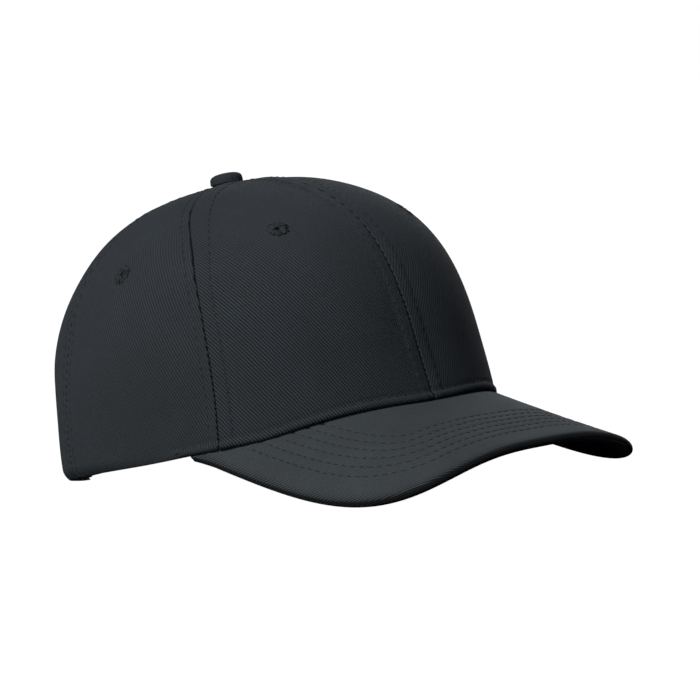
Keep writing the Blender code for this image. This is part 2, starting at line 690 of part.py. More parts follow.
def make_tab():
    """Short loop of cloth that ties the buckle's crossbar to the wearer's left panel."""
    start = math.radians(37.0)
    outer_face, inner_face = -1.5, -0.35
    reach = END_RADIUS - CROSSBAR_DEPTH
    neck = CROSSBAR_PSI + 2.6 / reach
    points = [(start, inner_face), (start, outer_face)]
    points += [(psi, outer_face) for psi in np.linspace(start, neck, 5)[1:]]
    points += curl(CROSSBAR_PSI, CROSSBAR_DEPTH, 1.75, 60.0, 310.0, 14)
    points += curl(CROSSBAR_PSI, CROSSBAR_DEPTH, 1.1, 310.0, 30.0, 14)
    points += [(psi, inner_face) for psi in np.linspace(neck, start, 5)[:-1]]
    low, high = STRAP_BOTTOM + 0.6, STRAP_TOP - 0.6
    upright_strap("buckle_tab", points, low, high, BLACK_TWILL)


# ---- putting it together ------------------------------------------------------------------------

PANEL_PLAN = (
    ("panel_front_left", 30.0, False),
    ("panel_side_left", 90.0, False),
    ("panel_back_left", 150.0, True),
    ("panel_back_right", -150.0, True),
    ("panel_side_right", -90.0, False),
    ("panel_front_right", -30.0, False),
)
SEAM_PLAN = (
    ("seam_tape_front", 0.0),
    ("seam_tape_front_left", 60.0),
    ("seam_tape_back_left", 120.0),
    ("seam_tape_back", 180.0),
    ("seam_tape_back_right", 240.0),
    ("seam_tape_front_right", 300.0),
)


def eyelet_phi(middle):
    """The phi of the eyelet in the panel with this middle."""
    theta = np.array([middle])
    bottom = phi_at(theta, edge_height(theta))
    top = phi_at_radius(theta, TOP_HOLE_RADIUS)
    return float((bottom + (top - bottom) * EYELET_LEVEL)[0])


def make_everything():
    for name, middle, is_back in PANEL_PLAN:
        make_panel(name, math.radians(middle), is_back)
        theta = math.radians(middle)
        make_eyelet(name.replace("panel", "eyelet"), theta, eyelet_phi(theta))
    make_stiffener("stiffener_front_left", 1.0)
    make_stiffener("stiffener_front_right", -1.0)
    for name, theta in SEAM_PLAN:
        make_seam_tape(name, math.radians(theta), is_back=theta == 180.0)
    make_band("sweatband", SWEATBAND, 0.8, SWEATBAND_HEIGHT, math.radians(36.0), BLACK_COTTON)
    make_band("hem_fold", HEM_FOLD, 0.6, HEM_FOLD_HEIGHT, POCKET_END + 0.02, BLACK_COTTON, columns=90, rows=3)
    make_arch_tape()
    make_label()
    make_button()
    make_visor()
    make_strap()
    make_buckle()
    make_tab()


def named(name):
    return next(piece for piece in pieces if piece["name"] == name)


def slide_top(points):
    """The middle of the top sits a little forward of the dome's centre, and carries the button with it."""
    points = np.array(points, float)
    away = np.hypot(points[..., 0], points[..., 1] - BUTTON_Y)
    near = np.exp(-((away / TOP_SLIDE_REACH) ** 2)) * smooth_step((points[..., 2] - 70.0) / 25.0)
    points[..., 1] -= TOP_SLIDE * near
    return points


def pitched(points, pitch):
    """Points turned front-up about X."""
    points = np.asarray(points, float)
    y = points[..., 1] * math.cos(pitch) + points[..., 2] * math.sin(pitch)
    z = -points[..., 1] * math.sin(pitch) + points[..., 2] * math.cos(pitch)
    return np.stack([points[..., 0], y, z], -1)


def rest_pitch():
    """The pitch at which the visor and the back of the hem are equally low."""
    visor = named("visor_under_cover")["verts"]
    hem = named("panel_back_left")["verts"]
    low, high = 0.0, math.radians(20.0)
    for _ in range(50):
        middle = (low + high) / 2.0
        if pitched(visor, middle)[:, 2].min() < pitched(hem, middle)[:, 2].min():
            low = middle
        else:
            high = middle
    return middle


FOOT_FLAT = 1.3


def stand_up():
    """Turns every piece from the cap's frame into the world, standing on z = 0."""
    pitch = rest_pitch()
    turned = [pitched(slide_top(piece["verts"]), pitch) for piece in pieces]
    every = np.concatenate(turned)
    shift = np.array([0.0, -(every[:, 1].min() + every[:, 1].max()) / 2.0, -every[:, 2].min()])
    for piece, points in zip(pieces, turned):
        points = points + shift
        if piece["name"].startswith("panel_back"):
            low = points[:, 2] < FOOT_FLAT
            points[low, 2] = 0.0
        piece["verts"] = points
        origin = piece["origin"]
        if origin is None:
            piece["origin"] = (points.min(0) + points.max(0)) / 2.0
        else:
            piece["origin"] = pitched(np.array(origin), pitch) + shift
    print("pitch", round(math.degrees(pitch), 4), "shift", shift.round(4).tolist())


def make_material(piece):
    material = bpy.data.materials.new(piece["name"] + "_material")
    material.use_nodes = True
    shader = material.node_tree.nodes["Principled BSDF"]
    shader.inputs["Base Color"].default_value = (*piece["colour"], 1.0)
    shader.inputs["Roughness"].default_value = piece["roughness"]
    shader.inputs["Metallic"].default_value = piece["metallic"]
    material.diffuse_color = (*piece["colour"], 1.0)
    return material


def turned_outward(verts, faces):
    """The faces, all reversed when they enclose a negative volume."""
    volume = 0.0
    for face in faces:
        for k in range(1, len(face) - 1):
            volume += float(np.dot(verts[face[0]], np.cross(verts[face[k]], verts[face[k + 1]])))
    return faces if volume > 0.0 else [tuple(reversed(face)) for face in faces]


def make_object(piece):
    origin = np.array(piece["origin"], float)
    mesh = bpy.data.meshes.new(piece["name"])
    points = (piece["verts"] - origin) * MM
    faces = turned_outward(points, piece["faces"])
    mesh.from_pydata([tuple(p) for p in points], [], [tuple(face) for face in faces])
    mesh.validate()
    mesh.update()
    if piece["smooth"]:
        mesh.polygons.foreach_set("use_smooth", [True] * len(mesh.polygons))
    mesh.materials.append(make_material(piece))
    item = bpy.data.objects.new(piece["name"], mesh)
    item.location = tuple(origin * MM)
    bpy.context.scene.collection.objects.link(item)
    return item


def join_crossbar(items):
    """Makes the crossbar one body with the buckle's frame."""
    frame, bar = items["buckle_frame"], items["crossbar"]
    bpy.context.view_layer.update()
    joined = frame.modifiers.new("crossbar", "BOOLEAN")
    joined.operation = "UNION"
    joined.solver = "EXACT"
    joined.object = bar
    graph = bpy.context.evaluated_depsgraph_get()
    solid = bpy.data.meshes.new_from_object(frame.evaluated_get(graph))
    frame.modifiers.clear()
    frame.data = solid
    bpy.data.objects.remove(bar, do_unlink=True)


for old in list(bpy.data.objects):
    bpy.data.objects.remove(old, do_unlink=True)
make_everything()
stand_up()
made = {piece["name"]: make_object(piece) for piece in pieces}
join_crossbar(made)
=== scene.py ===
"""Looks of a black twill baseball cap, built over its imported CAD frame.

Shapes are worked out in the cap's own frame in millimetres, as in the part's source: the hem lies in
z = 0, the visor points to -Y and +X is the wearer's left. place() turns them into the row frame.
"""

import math

import bpy
import numpy as np
from mathutils import Matrix, Vector


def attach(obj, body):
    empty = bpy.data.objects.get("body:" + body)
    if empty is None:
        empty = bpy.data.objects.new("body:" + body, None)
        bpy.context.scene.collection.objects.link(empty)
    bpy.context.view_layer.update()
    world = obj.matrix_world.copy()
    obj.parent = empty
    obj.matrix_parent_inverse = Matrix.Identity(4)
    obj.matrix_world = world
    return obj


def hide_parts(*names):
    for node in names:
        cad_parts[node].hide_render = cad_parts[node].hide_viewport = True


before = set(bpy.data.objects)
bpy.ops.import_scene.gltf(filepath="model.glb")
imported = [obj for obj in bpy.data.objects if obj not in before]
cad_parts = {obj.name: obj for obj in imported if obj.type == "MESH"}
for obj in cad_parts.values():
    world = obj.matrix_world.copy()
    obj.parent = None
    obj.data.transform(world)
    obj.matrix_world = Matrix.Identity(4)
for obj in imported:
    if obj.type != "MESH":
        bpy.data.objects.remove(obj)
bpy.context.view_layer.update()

MM = 0.001

# The part's own driving sizes, repeated.
REST_PITCH = math.radians(9.9944)
REST_SHIFT = np.array([0.0, 29.0937, 15.1607])
HALF_LENGTH = 100.0
HALF_WIDTH = 89.0
END_RADIUS = 84.8
BACK_CENTRE_Y = HALF_LENGTH - END_RADIUS
CROWN_HEIGHT = 114.5
BUTTON_Y = 8.0
# Pairs are for the back and for the front.
WALL = (27.5, 29.7)
DOME_OUT, DOME_UP = (2.77, 2.16), (1.77, 2.42)
LEAN = (0.012, -0.063)
PUFF = (1.92, 4.24)

FRONT_BULGE, BULGE_AT = 1.26, 0.373
TOP_LIFT, TOP_LIFT_REACH = 1.25, 0.222
TOP_SLIDE, TOP_SLIDE_REACH = 3.6, 45.0
PUFF_SHAPE, PUFF_LEVEL = 0.956, 0.682
PLAIN_HEM = 26.0
WALL_ANGLE = 0.35
PANELS = 6
VISOR_HALF_ANGLE = math.radians(69.8)
VISOR_RISE = 34.0
VISOR_BEND = 2.91
VISOR_SLOPE = 0.4635
VISOR_SAG = 0.00025
VISOR_REACH = 62.0
VISOR_SQUARENESS = 4.05
VISOR_THICKNESS = 4.3
VISOR_COVER = 0.75
TOP_HOLE_RADIUS = 2.2
EYELET_LEVEL = 0.527
ARCH_HALF_WIDTH = 44.0
ARCH_HEIGHT = 49.0
ARCH_ROUNDNESS = 2.2
STRAP_BOTTOM, STRAP_TOP = 6.0, 25.0
STRAP = (1.7, 2.9)
STRAP_FROM, STRAP_TO = math.radians(-52.0), math.radians(44.0)

# How deep each layer's outer and inner face lie under the crown's surface.
STIFFENER = (1.75, 2.5)
SEAM_TAPE = (3.2, 3.8)
ARCH_TAPE = (2.3, 2.9)
HEM_FOLD = (2.0, 3.9)
SWEATBAND = (4.6, 5.7)
LABEL = (6.0, 6.3)

TAPE_WIDTH = 12.0
TAPE_TOP_RADIUS = 14.5
STIFFENER_TOP_RADIUS = 22.0
SWEATBAND_HEIGHT = 34.0
SWEATBAND_END = math.radians(36.0)
HEM_FOLD_HEIGHT = 7.0
POCKET_END = math.radians(60.0)
BUCKLE_FROM, BUCKLE_TO = math.radians(7.0), math.radians(25.0)
LEVER_TIP = math.radians(7.4)
LEVER_PIN = (math.radians(19.6), -0.1)
CROSSBAR = (math.radians(23.8), -0.4)
BUCKLE_PLATE = (3.25, 4.05)
BUCKLE_WALL = 1.2
BUCKLE_SIDE_GAP = 0.5
BUCKLE_PROUD = -1.3

# Looks only.
CLOTH = 1.2
HEM_FLARE, HEM_FLARE_HEIGHT, HEM_LIFT, FLARED_DEPTH = 4.5, 58.0, 0.9, 4.2
STITCH_PITCH = 4.2
STITCH_LENGTH = 3.0
THREAD_RADIUS = 0.26
FRONT_ROW, SIDE_ROW = 6.2, 4.4
WELT_ROW = 3.5
VISOR_ROWS = (14.8, 20.2, 25.6, 30.9, 36.1, 41.4)
EYELET_OPENING = 3.0
EYELET_REACH = 7.0
EYELET_INSIDE = 0.62
# Sections turned round an axis, as distance from it and height.
EYELET_CORE = (
    (0.95, -0.7), (1.3, 0.1), (2.4, 0.42), (3.6, 0.34), (4.45, -0.05), (4.5, -0.5), (4.2, -1.6), (2.6, -1.9),
    (1.2, -1.7),
)
BUTTON_UNDERSIDE = [
    (7.42, 1.5), (7.3, 1.0), (6.95, 0.72), (6.3, 0.6), (5.8, 0.75), (5.8, 1.3), (6.0, 1.8), (5.9, 2.6),
    (5.0, 3.5), (2.9, 4.3), (0.15, 4.5),
]
EDGE_BAND = 5.4
STRAP_ROW = 2.2
VISOR_ROW_MARGIN = 3.8
TAPE_ROW = 4.4
SWEATBAND_ROW = 2.4
PANEL_ROWS = 120
VISOR_COLUMNS = 241
ROLL_STEPS = 13
WHOLE_TURN = (0.0, 345.0, 23)
RIB_PITCH, FLOAT_PITCH = 1.2, 1.05
TWILL_BLACK = (0.0325, 0.0385, 0.0435)
# Painted light: the visor's cloth is the crown's black painted about half again lighter, for the brighter
# light the visor catches.
VISOR_BLACK_PAINTED_LIGHTER = (0.054, 0.0625, 0.066)
STEEL = (0.60, 0.60, 0.59)
WHITE = (1.0, 1.0, 1.0, 1.0)
SKY = (0.62, 0.88, 1.5, 1.0)

HALF_PANEL = math.pi / PANELS
FRONT_MIDDLE, SIDE_MIDDLE, BACK_MIDDLE = HALF_PANEL, 3.0 * HALF_PANEL, 5.0 * HALF_PANEL
# Each panel's middle, its stitch row, the slant of its cloth's ribs and how strongly they show. It is one
# cloth; its rib contrast is set per panel as painted light and shade, weakest on the shaded front left and
# strongest on the lit front right.
PANEL_PLAN = (
    ("panel_front_left", FRONT_MIDDLE, FRONT_ROW, 58.0, 0.3),
    ("panel_side_left", SIDE_MIDDLE, SIDE_ROW, 64.0, 0.6),
    ("panel_back_left", BACK_MIDDLE, SIDE_ROW, 60.0, 0.6),
    ("panel_back_right", -BACK_MIDDLE, SIDE_ROW, -60.0, 0.6),
    ("panel_side_right", -SIDE_MIDDLE, SIDE_ROW, -64.0, 0.6),
    ("panel_front_right", -FRONT_MIDDLE, FRONT_ROW, -58.0, 1.0),
)
SEAM_NAMES = ("front", "front_left", "back_left", "back", "back_right", "front_right")
SEAM_PLAN = [("seam_tape_" + place_name, math.radians(60.0 * k)) for k, place_name in enumerate(SEAM_NAMES)]


def smooth_step(value):
    value = np.clip(value, 0.0, 1.0)
    return value * value * (3.0 - 2.0 * value)


def between(back, front, weight):
    return back + (front - back) * weight


def unit(vectors):
    """Each vector made one long."""
    return vectors / np.linalg.norm(vectors, axis=-1, keepdims=True)


def bell(offset, width):
    """One at no offset, fading over this width."""
    return np.exp(-((offset / width) ** 2))


def run_length(points):
    """How far along a line each of its points lies."""
    return np.concatenate([[0.0], np.cumsum(np.linalg.norm(np.diff(points, axis=0), axis=1))])


def around(sides):
    """Even angles round a circle."""
    return 2.0 * math.pi * np.arange(sides) / sides


# ---- the part's surfaces ----


def hem_xy(theta):
    side_radius = (HALF_WIDTH**2 + BACK_CENTRE_Y**2 - END_RADIUS**2) / (2.0 * (HALF_WIDTH - END_RADIUS))
    side_centre = side_radius - HALF_WIDTH
    meeting = math.atan2(side_centre, BACK_CENTRE_Y)
    meeting_x = END_RADIUS * math.sin(meeting)
    meeting_y = BACK_CENTRE_Y + END_RADIUS * math.cos(meeting)
    x, y = np.sin(theta), -np.cos(theta)
    along = np.abs(y) * BACK_CENTRE_Y
    end_reach = along + np.sqrt(along**2 - BACK_CENTRE_Y**2 + END_RADIUS**2)
    across = -np.abs(x) * side_centre
    side_reach = across + np.sqrt(across**2 - side_centre**2 + side_radius**2)
    at_end = np.arctan2(np.abs(x), np.abs(y)) < math.atan2(meeting_x, meeting_y)
    reach = np.where(at_end, end_reach, side_reach)
    return x * reach, y * reach


VISOR_CORNER_X, VISOR_CORNER_Y = map(float, hem_xy(np.array(VISOR_HALF_ANGLE)))


def visor_height(x, y):
    forward = np.maximum(VISOR_CORNER_Y - y, 0.0)
    arch = VISOR_RISE * (1.0 - (np.abs(x) / VISOR_CORNER_X) ** VISOR_BEND)
    return arch - VISOR_SLOPE * forward + VISOR_SAG * forward**2


def front_weight(theta):
    return smooth_step(0.5 + 0.575 * np.cos(theta))


def dome(theta, phi):
    weight = front_weight(theta)
    hem_x, hem_y = hem_xy(theta)
    wall = between(*WALL, weight)
    out = between(*DOME_OUT, weight)
    rise = between(*DOME_UP, weight)
    lean = between(*LEAN, weight)
    above = np.clip(phi, 0.0, math.pi / 2)
    reach = np.cos(above) ** (2.0 / out)
    z = wall + (CROWN_HEIGHT - wall) * np.sin(above) ** (2.0 / rise)
    z = np.where(phi < 0.0, wall * (1.0 + phi / WALL_ANGLE), z)
    level = np.clip(z / CROWN_HEIGHT, 0.0, 1.0)
    leaning = 1.0 + lean * np.sin(math.pi * level) * calmed(z, weight)
    return hem_x * reach * leaning, BUTTON_Y + (hem_y - BUTTON_Y) * reach * leaning, z, reach


def phi_at(theta, z):
    weight = front_weight(theta)
    wall = between(*WALL, weight)
    rise = between(*DOME_UP, weight)
    up = np.clip((z - wall) / (CROWN_HEIGHT - wall), 0.0, 1.0)
    return np.where(z > wall, np.arcsin(up ** (rise / 2.0)), (z / wall - 1.0) * WALL_ANGLE)


def wrapped(theta):
    return np.abs(np.arctan2(np.sin(theta), np.cos(theta)))


def off_axis(points):
    """Level distance from the button's upright axis."""
    return np.hypot(points[..., 0], points[..., 1] - BUTTON_Y)


def calmed(z, weight):
    """Little at the plain hem of the back, growing above it; one at the front."""
    return between(smooth_step((z - PLAIN_HEM) / 30.0), 1.0, weight)


def edge_height(theta):
    z = np.zeros_like(theta)
    for _ in range(6):
        x, y, _z, _reach = dome(theta, phi_at(theta, z))
        z = np.where(wrapped(theta) < VISOR_HALF_ANGLE, np.maximum(visor_height(x, y), 0.0), 0.0)
    return z


def seam_sweep(theta, phi):
    """The seams between front and side panels swing forward low down and back near the button."""
    x, y, z, _reach = dome(theta, phi)
    low = 2.3 * np.sin(math.pi * np.clip(z / 78.0, 0.0, 1.0))
    high = 4.2 * np.sin(math.pi * np.clip((z - 78.0) / 40.0, 0.0, 1.0) ** 1.9)
    away = np.clip(np.hypot(x, y - BUTTON_Y), 12.0, None)
    round_way = np.arctan2(np.sin(theta), np.cos(theta))
    near = bell(np.abs(round_way) - math.pi / 3.0, math.radians(22.0))
    return theta - np.sign(round_way) * near * (low - high) / away


def hem_flare(theta, point):
    """How far the cloth stands out from the sweatband at the cap's back corners."""
    corner = smooth_step((wrapped(theta) - math.radians(80.0)) / math.radians(35.0))
    corner = corner * smooth_step((np.abs(point[..., 0]) - 54.0) / 13.0)
    push = HEM_FLARE * corner * (1.0 - smooth_step(point[..., 2] / HEM_FLARE_HEIGHT))
    away = np.stack([point[..., 0], point[..., 1] - BUTTON_Y, np.zeros_like(push)], -1)
    away = away / (np.linalg.norm(away, axis=-1, keepdims=True) + 1e-6)
    lift = HEM_LIFT * corner * (1.0 - smooth_step(point[..., 2] / 16.0))
    return away * push[..., None] + np.stack([0.0 * lift, 0.0 * lift, lift], -1)


def crown_surface(theta, phi):
    theta = seam_sweep(theta, phi)
    x, y, z, reach = dome(theta, phi)
    weight = front_weight(theta)
    level = np.clip(z / CROWN_HEIGHT, 0.0, 1.0)
    calm = calmed(z, weight)
    z = z + FRONT_BULGE * weight * bell(reach - BULGE_AT, 0.25) + TOP_LIFT * bell(reach, TOP_LIFT_REACH)
    gore = np.abs(np.sin(PANELS / 2.0 * theta)) ** PUFF_SHAPE
    puff = between(*PUFF, weight) * gore * np.sin(math.pi * level**PUFF_LEVEL) * calm
    away_x, away_y = x, y - BUTTON_Y
    away = np.hypot(away_x, away_y) + 1e-6
    upward = level**1.5
    outward = np.sqrt(np.clip(1.0 - upward**2, 0.0, 1.0))
    x = x + away_x / away * outward * puff
    y = y + away_y / away * outward * puff
    return np.stack([x, y, z + upward * puff], -1)


def crown_normal(theta, phi):
    step = 0.012
    high = np.minimum(phi + step, math.pi / 2 - 0.004)
    round_way = crown_surface(theta + step, phi) - crown_surface(theta - step, phi)
    return unit(np.cross(round_way, crown_surface(theta, high) - crown_surface(theta, high - 2.0 * step)))


def crown_skin(theta, phi, depth):
    theta, phi = np.broadcast_arrays(np.asarray(theta, float), np.asarray(phi, float))
    depth = np.broadcast_to(np.asarray(depth, float), theta.shape)[..., None]
    surface = crown_surface(theta, phi)
    flare = np.where(depth < FLARED_DEPTH, hem_flare(theta, surface), 0.0)
    return surface + flare - crown_normal(theta, phi) * depth


def phi_at_radius(theta, radius):
    weight = front_weight(theta)
    out = between(*DOME_OUT, weight)
    hem_x, hem_y = hem_xy(theta)
    reach = np.hypot(hem_x, hem_y - BUTTON_Y)
    return np.arccos((radius / reach) ** (out / 2.0))


def arch_height(x):
    inside = np.clip(1.0 - (np.abs(x) / ARCH_HALF_WIDTH) ** ARCH_ROUNDNESS, 0.0, 1.0)
    return ARCH_HEIGHT * inside ** (1.0 / ARCH_ROUNDNESS)


def back_theta(x):
    y = BACK_CENTRE_Y + np.sqrt(END_RADIUS**2 - np.asarray(x, float) ** 2)
    return np.arctan2(x, -y)


def strap_point(psi, depth, z):
    radius = END_RADIUS - np.asarray(depth, float)
    psi, radius, z = np.broadcast_arrays(psi, radius, z)
    return np.stack([radius * np.sin(psi), BACK_CENTRE_Y + radius * np.cos(psi), z], -1)


def slide_top(points):
    """The middle of the top sits a little forward of the dome's centre, and carries the button with it."""
    points = np.array(points, float)
    near = bell(off_axis(points), TOP_SLIDE_REACH) * smooth_step((points[..., 2] - 70.0) / 25.0)
    points[..., 1] -= TOP_SLIDE * near
    return points


def place(points):
    """Cap frame in millimetres to row frame in metres."""
    points = slide_top(points)
    y = points[..., 1] * math.cos(REST_PITCH) + points[..., 2] * math.sin(REST_PITCH)
    z = -points[..., 1] * math.sin(REST_PITCH) + points[..., 2] * math.cos(REST_PITCH)
    return (np.stack([points[..., 0], y, z], -1) + REST_SHIFT) * MM


def turn(vectors):
    """Directions from the cap's frame to the row frame."""
    return (place(vectors) - place(np.zeros(3))) / MM


# ---- noise ----

_rng = np.random.default_rng(7)
NOISE_WAVES = [(_rng.normal(size=3), _rng.uniform(0, 2 * math.pi)) for _ in range(40)]


def soft_noise(points, size, start=0, waves=9):
    """A smooth random field, about -1 to 1, whose lumps are about this many millimetres across."""
    total = 0.0
    for direction, phase in NOISE_WAVES[start : start + waves]:
        way = direction / np.linalg.norm(direction) * (0.6 + 0.5 * abs(direction[0]))
        total = total + np.sin(points @ way * (2.0 * math.pi / (2.0 * size)) + phase)
    return total / math.sqrt(waves)


# ---- mesh makers ----


def mesh_object(name, verts, faces, material, cloth_uv=None):
    """A smooth mesh from cap-frame millimetres, with a map of cloth millimetres where it has a weave."""
    mesh = bpy.data.meshes.new(name)
    mesh.from_pydata(place(verts).tolist(), [], faces)
    mesh.update()
    mesh.polygons.foreach_set("use_smooth", np.ones(len(mesh.polygons), bool))
    if cloth_uv is not None:
        layer = mesh.uv_layers.new(name="cloth")
        corners = np.empty(len(mesh.loops), np.int32)
        mesh.loops.foreach_get("vertex_index", corners)
        layer.data.foreach_set("uv", (cloth_uv.reshape(-1, 2)[corners] * MM).astype(np.float32).ravel())
    mesh.materials.append(material)
    item = bpy.data.objects.new(name, mesh)
    bpy.context.scene.collection.objects.link(item)
    fix_outward(mesh)
    return item


def fix_outward(mesh):
    """Turns all faces round if they enclose a negative volume."""
    mesh.calc_loop_triangles()
    corners = np.empty(len(mesh.loop_triangles) * 3, np.int32)
    mesh.loop_triangles.foreach_get("vertices", corners)
    points = np.empty(len(mesh.vertices) * 3, np.float32)
    mesh.vertices.foreach_get("co", points)
    triangles = points.reshape(-1, 3).astype(float)[corners.reshape(-1, 3)]
    if np.einsum("ij,ij->i", triangles[:, 0], np.cross(triangles[:, 1], triangles[:, 2])).sum() < 0.0:
        mesh.flip_normals()


def mark(item, name, shares):
    """Stores a share, 0 to 1, on each corner of a piece, for its material to read."""
    marks = item.data.attributes.new(name, "FLOAT", "POINT")
    marks.data.foreach_set("value", np.clip(shares, 0.0, 1.0).ravel().astype(np.float32))


def tube(line, side, above, wide, tall, sides):
    """Points of a tube round a line, with its half width and half height at each place."""
    a = around(sides)
    sideways = side[:, None] * (np.cos(a) * wide[:, None])[..., None]
    upward = above[:, None] * (np.sin(a) * tall[:, None])[..., None]
    return (line[:, None] + sideways + upward).reshape(-1, 3)


def tube_faces(rings, sides, first=0):
    """Faces of a tube of rings, capped at both ends."""
    faces = []
    for a in range(first, first + (rings - 1) * sides, sides):
        b = a + sides
        for m in range(sides):
            n = (m + 1) % sides
            faces.append((a + m, a + n, b + n, b + m))
    last = first + (rings - 1) * sides
    faces.append(tuple(range(first + sides - 1, first - 1, -1)))
    faces.append(tuple(range(last, last + sides)))
    return faces


def loop_sheet(name, loop, material, uv, hole=None):
    """A closed sheet from loops round its section: loop[column] runs down one face and back up the other.

    hole is (column, outer row, inner row): the two cells there become an opening right through.
    """
    columns, many = loop.shape[:2]
    faces = []
    starts = range(0, (columns - 1) * many, many)
    for a in starts:
        faces += [(k, k + many, k + many + 1, k + 1) for k in range(a, a + many - 1)]
    faces += [(a, a + many - 1, a + 2 * many - 1, a + many) for a in starts]
    for a, way in ((0, 1), ((columns - 1) * many, -1)):
        low, high = a, a + many - 1
        while high - low > 2:
            faces.append((low, low + 1, high - 1, high)[::way])
            low, high = low + 1, high - 1
        if high - low == 2:
            faces.append((low, low + 1, high)[::way])
    if hole is not None:
        rims = []
        for row in hole[1:]:
            a = hole[0] * many + row
            rims.append((a, a + many, a + many + 1, a + 1))
            faces.remove(rims[-1])
        near, far = rims
        for k in range(4):
            n = (k + 1) % 4
            faces.append((near[k], near[n], far[3 - n], far[3 - k]))
    return mesh_object(name, loop.reshape(-1, 3), faces, material, uv)


def arc_map(outer):
    """Cloth millimetres over a grid, from arc lengths along its middle column and middle row."""
    columns, rows = outer.shape[:2]
    up = np.linalg.norm(np.diff(outer, axis=1), axis=-1)
    up = np.concatenate([np.zeros((columns, 1)), np.cumsum(up, 1)], 1)
    middle = columns // 2
    across = np.linalg.norm(np.diff(outer, axis=0), axis=-1)
    across = np.concatenate([np.zeros((1, rows)), np.cumsum(across, 0)], 0)
    across = across - across[middle]
    return np.stack([across, up], -1)


def two_faced(name, outer, inner, material, edge=0.35, hole=None):
    """A closed sheet from matching grids of its two faces, with its long edges rounded out by edge."""
    uv = arc_map(outer)
    faces, maps = [outer, inner[:, ::-1]], [uv, uv[:, ::-1]]
    if edge:
        for at, row, beyond in ((1, -1, -2), (3, 0, 1)):
            way = unit(outer[:, row] - outer[:, beyond])
            faces.insert(at, ((outer[:, row] + inner[:, row]) / 2.0 + way * edge)[:, None])
            maps.insert(at, uv[:, [row]])
    return loop_sheet(name, np.concatenate(faces, 1), material, np.concatenate(maps, 1), hole)


def finish_piece(
    item, slot, body="crown", nodes=(), flat=None, held="stretched", area=None, rests_on=(), parts=()
):
    """Hides the CAD nodes a piece stands for and attaches the piece to its body."""
    if nodes:
        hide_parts(*nodes)
    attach(item, body)
    return item


def finish_sheet(item, slot, node, outer, **more):
    """The same for a sheet: its width and length along its cloth are a grid's largest, with its area."""
    a, b = np.diff(outer, axis=0), np.diff(outer, axis=1)
    width = float(np.linalg.norm(a, axis=-1).sum(0).max())
    length = float(np.linalg.norm(b, axis=-1).sum(1).max())
    cells = np.linalg.norm(np.cross(a[:, :-1], b[:-1]), axis=-1).sum()
    area = float(min(max(cells, 0.31 * width * length), width * length))
    return finish_piece(item, slot, nodes=[node], flat=(width, length), area=area, **more)


# ---- materials ----


class Nodes:
    """A short way to write shader trees."""

    def __init__(self, name, kind="materials", shader="Principled BSDF"):
        self.made = getattr(bpy.data, kind).new(name)
        self.made.use_nodes = True
        self.tree = self.made.node_tree
        self.shader = self.tree.nodes[shader]

    def fill(self, node, inputs):
        for socket, value in inputs.items():
            if isinstance(value, bpy.types.NodeSocket):
                self.tree.links.new(value, node.inputs[socket])
            else:
                node.inputs[socket].default_value = value

    def add(self, kind, inputs=None, **settings):
        node = self.tree.nodes.new(kind)
        for key, value in settings.items():
            setattr(node, key, value)
        self.fill(node, inputs or {})
        return node.outputs

    def finish(self, inputs):
        self.fill(self.shader, inputs)
        return self.made

    def math(self, operation, a, b=0.0):
        return self.add("ShaderNodeMath", {0: a, 1: b}, operation=operation)[0]

    def plus(self, a, b):
        return self.math("ADD", a, b)

    def minus(self, a, b):
        return self.math("SUBTRACT", a, b)

    def times(self, a, b):
        return self.math("MULTIPLY", a, b)

    def power(self, a, b):
        return self.math("POWER", a, b)

    def arches(self, a):
        """Round humps, one for each whole step of a."""
        return self.math("ABSOLUTE", self.math("SINE", self.times(a, math.pi)))

    def weighted(self, *terms):
        """The sum of values, each times its weight."""
        total = self.times(*terms[0])
        for term in terms[1:]:
            total = self.plus(total, self.times(*term))
        return total

    def rest_place(self):
        return self.add("ShaderNodeTexCoord")["Object"]

    def cloth_xy(self):
        split = self.add("ShaderNodeSeparateXYZ", {0: self.add("ShaderNodeUVMap", uv_map="cloth")["UV"]})
        return split["X"], split["Y"]

    def marked(self, name):
        return self.add("ShaderNodeAttribute", attribute_name=name)["Fac"]

    def noise(self, scale, detail=2.0, rough=0.5, vector=None):
        inputs = {"Vector": vector or self.rest_place(), "Scale": scale, "Detail": detail, "Roughness": rough}
        return self.add("ShaderNodeTexNoise", inputs)["Fac"]

    def ramp(self, value, low, high, to_low=0.0, to_high=1.0):
        inputs = {"Value": value, "From Min": low, "From Max": high, "To Min": to_low, "To Max": to_high}
        return self.add("ShaderNodeMapRange", inputs, clamp=True)["Result"]

    def mix(self, factor, a, b):
        return self.add("ShaderNodeMix", {"Factor": factor, "A": a, "B": b}, data_type="RGBA")["Result"]

    def bump(self, height, distance):
        return self.add("ShaderNodeBump", {"Height": height, "Distance": distance, "Strength": 1.0})["Normal"]


def shade(colour, factor):
    return tuple(min(1.0, c * factor) for c in colour) + (1.0,)


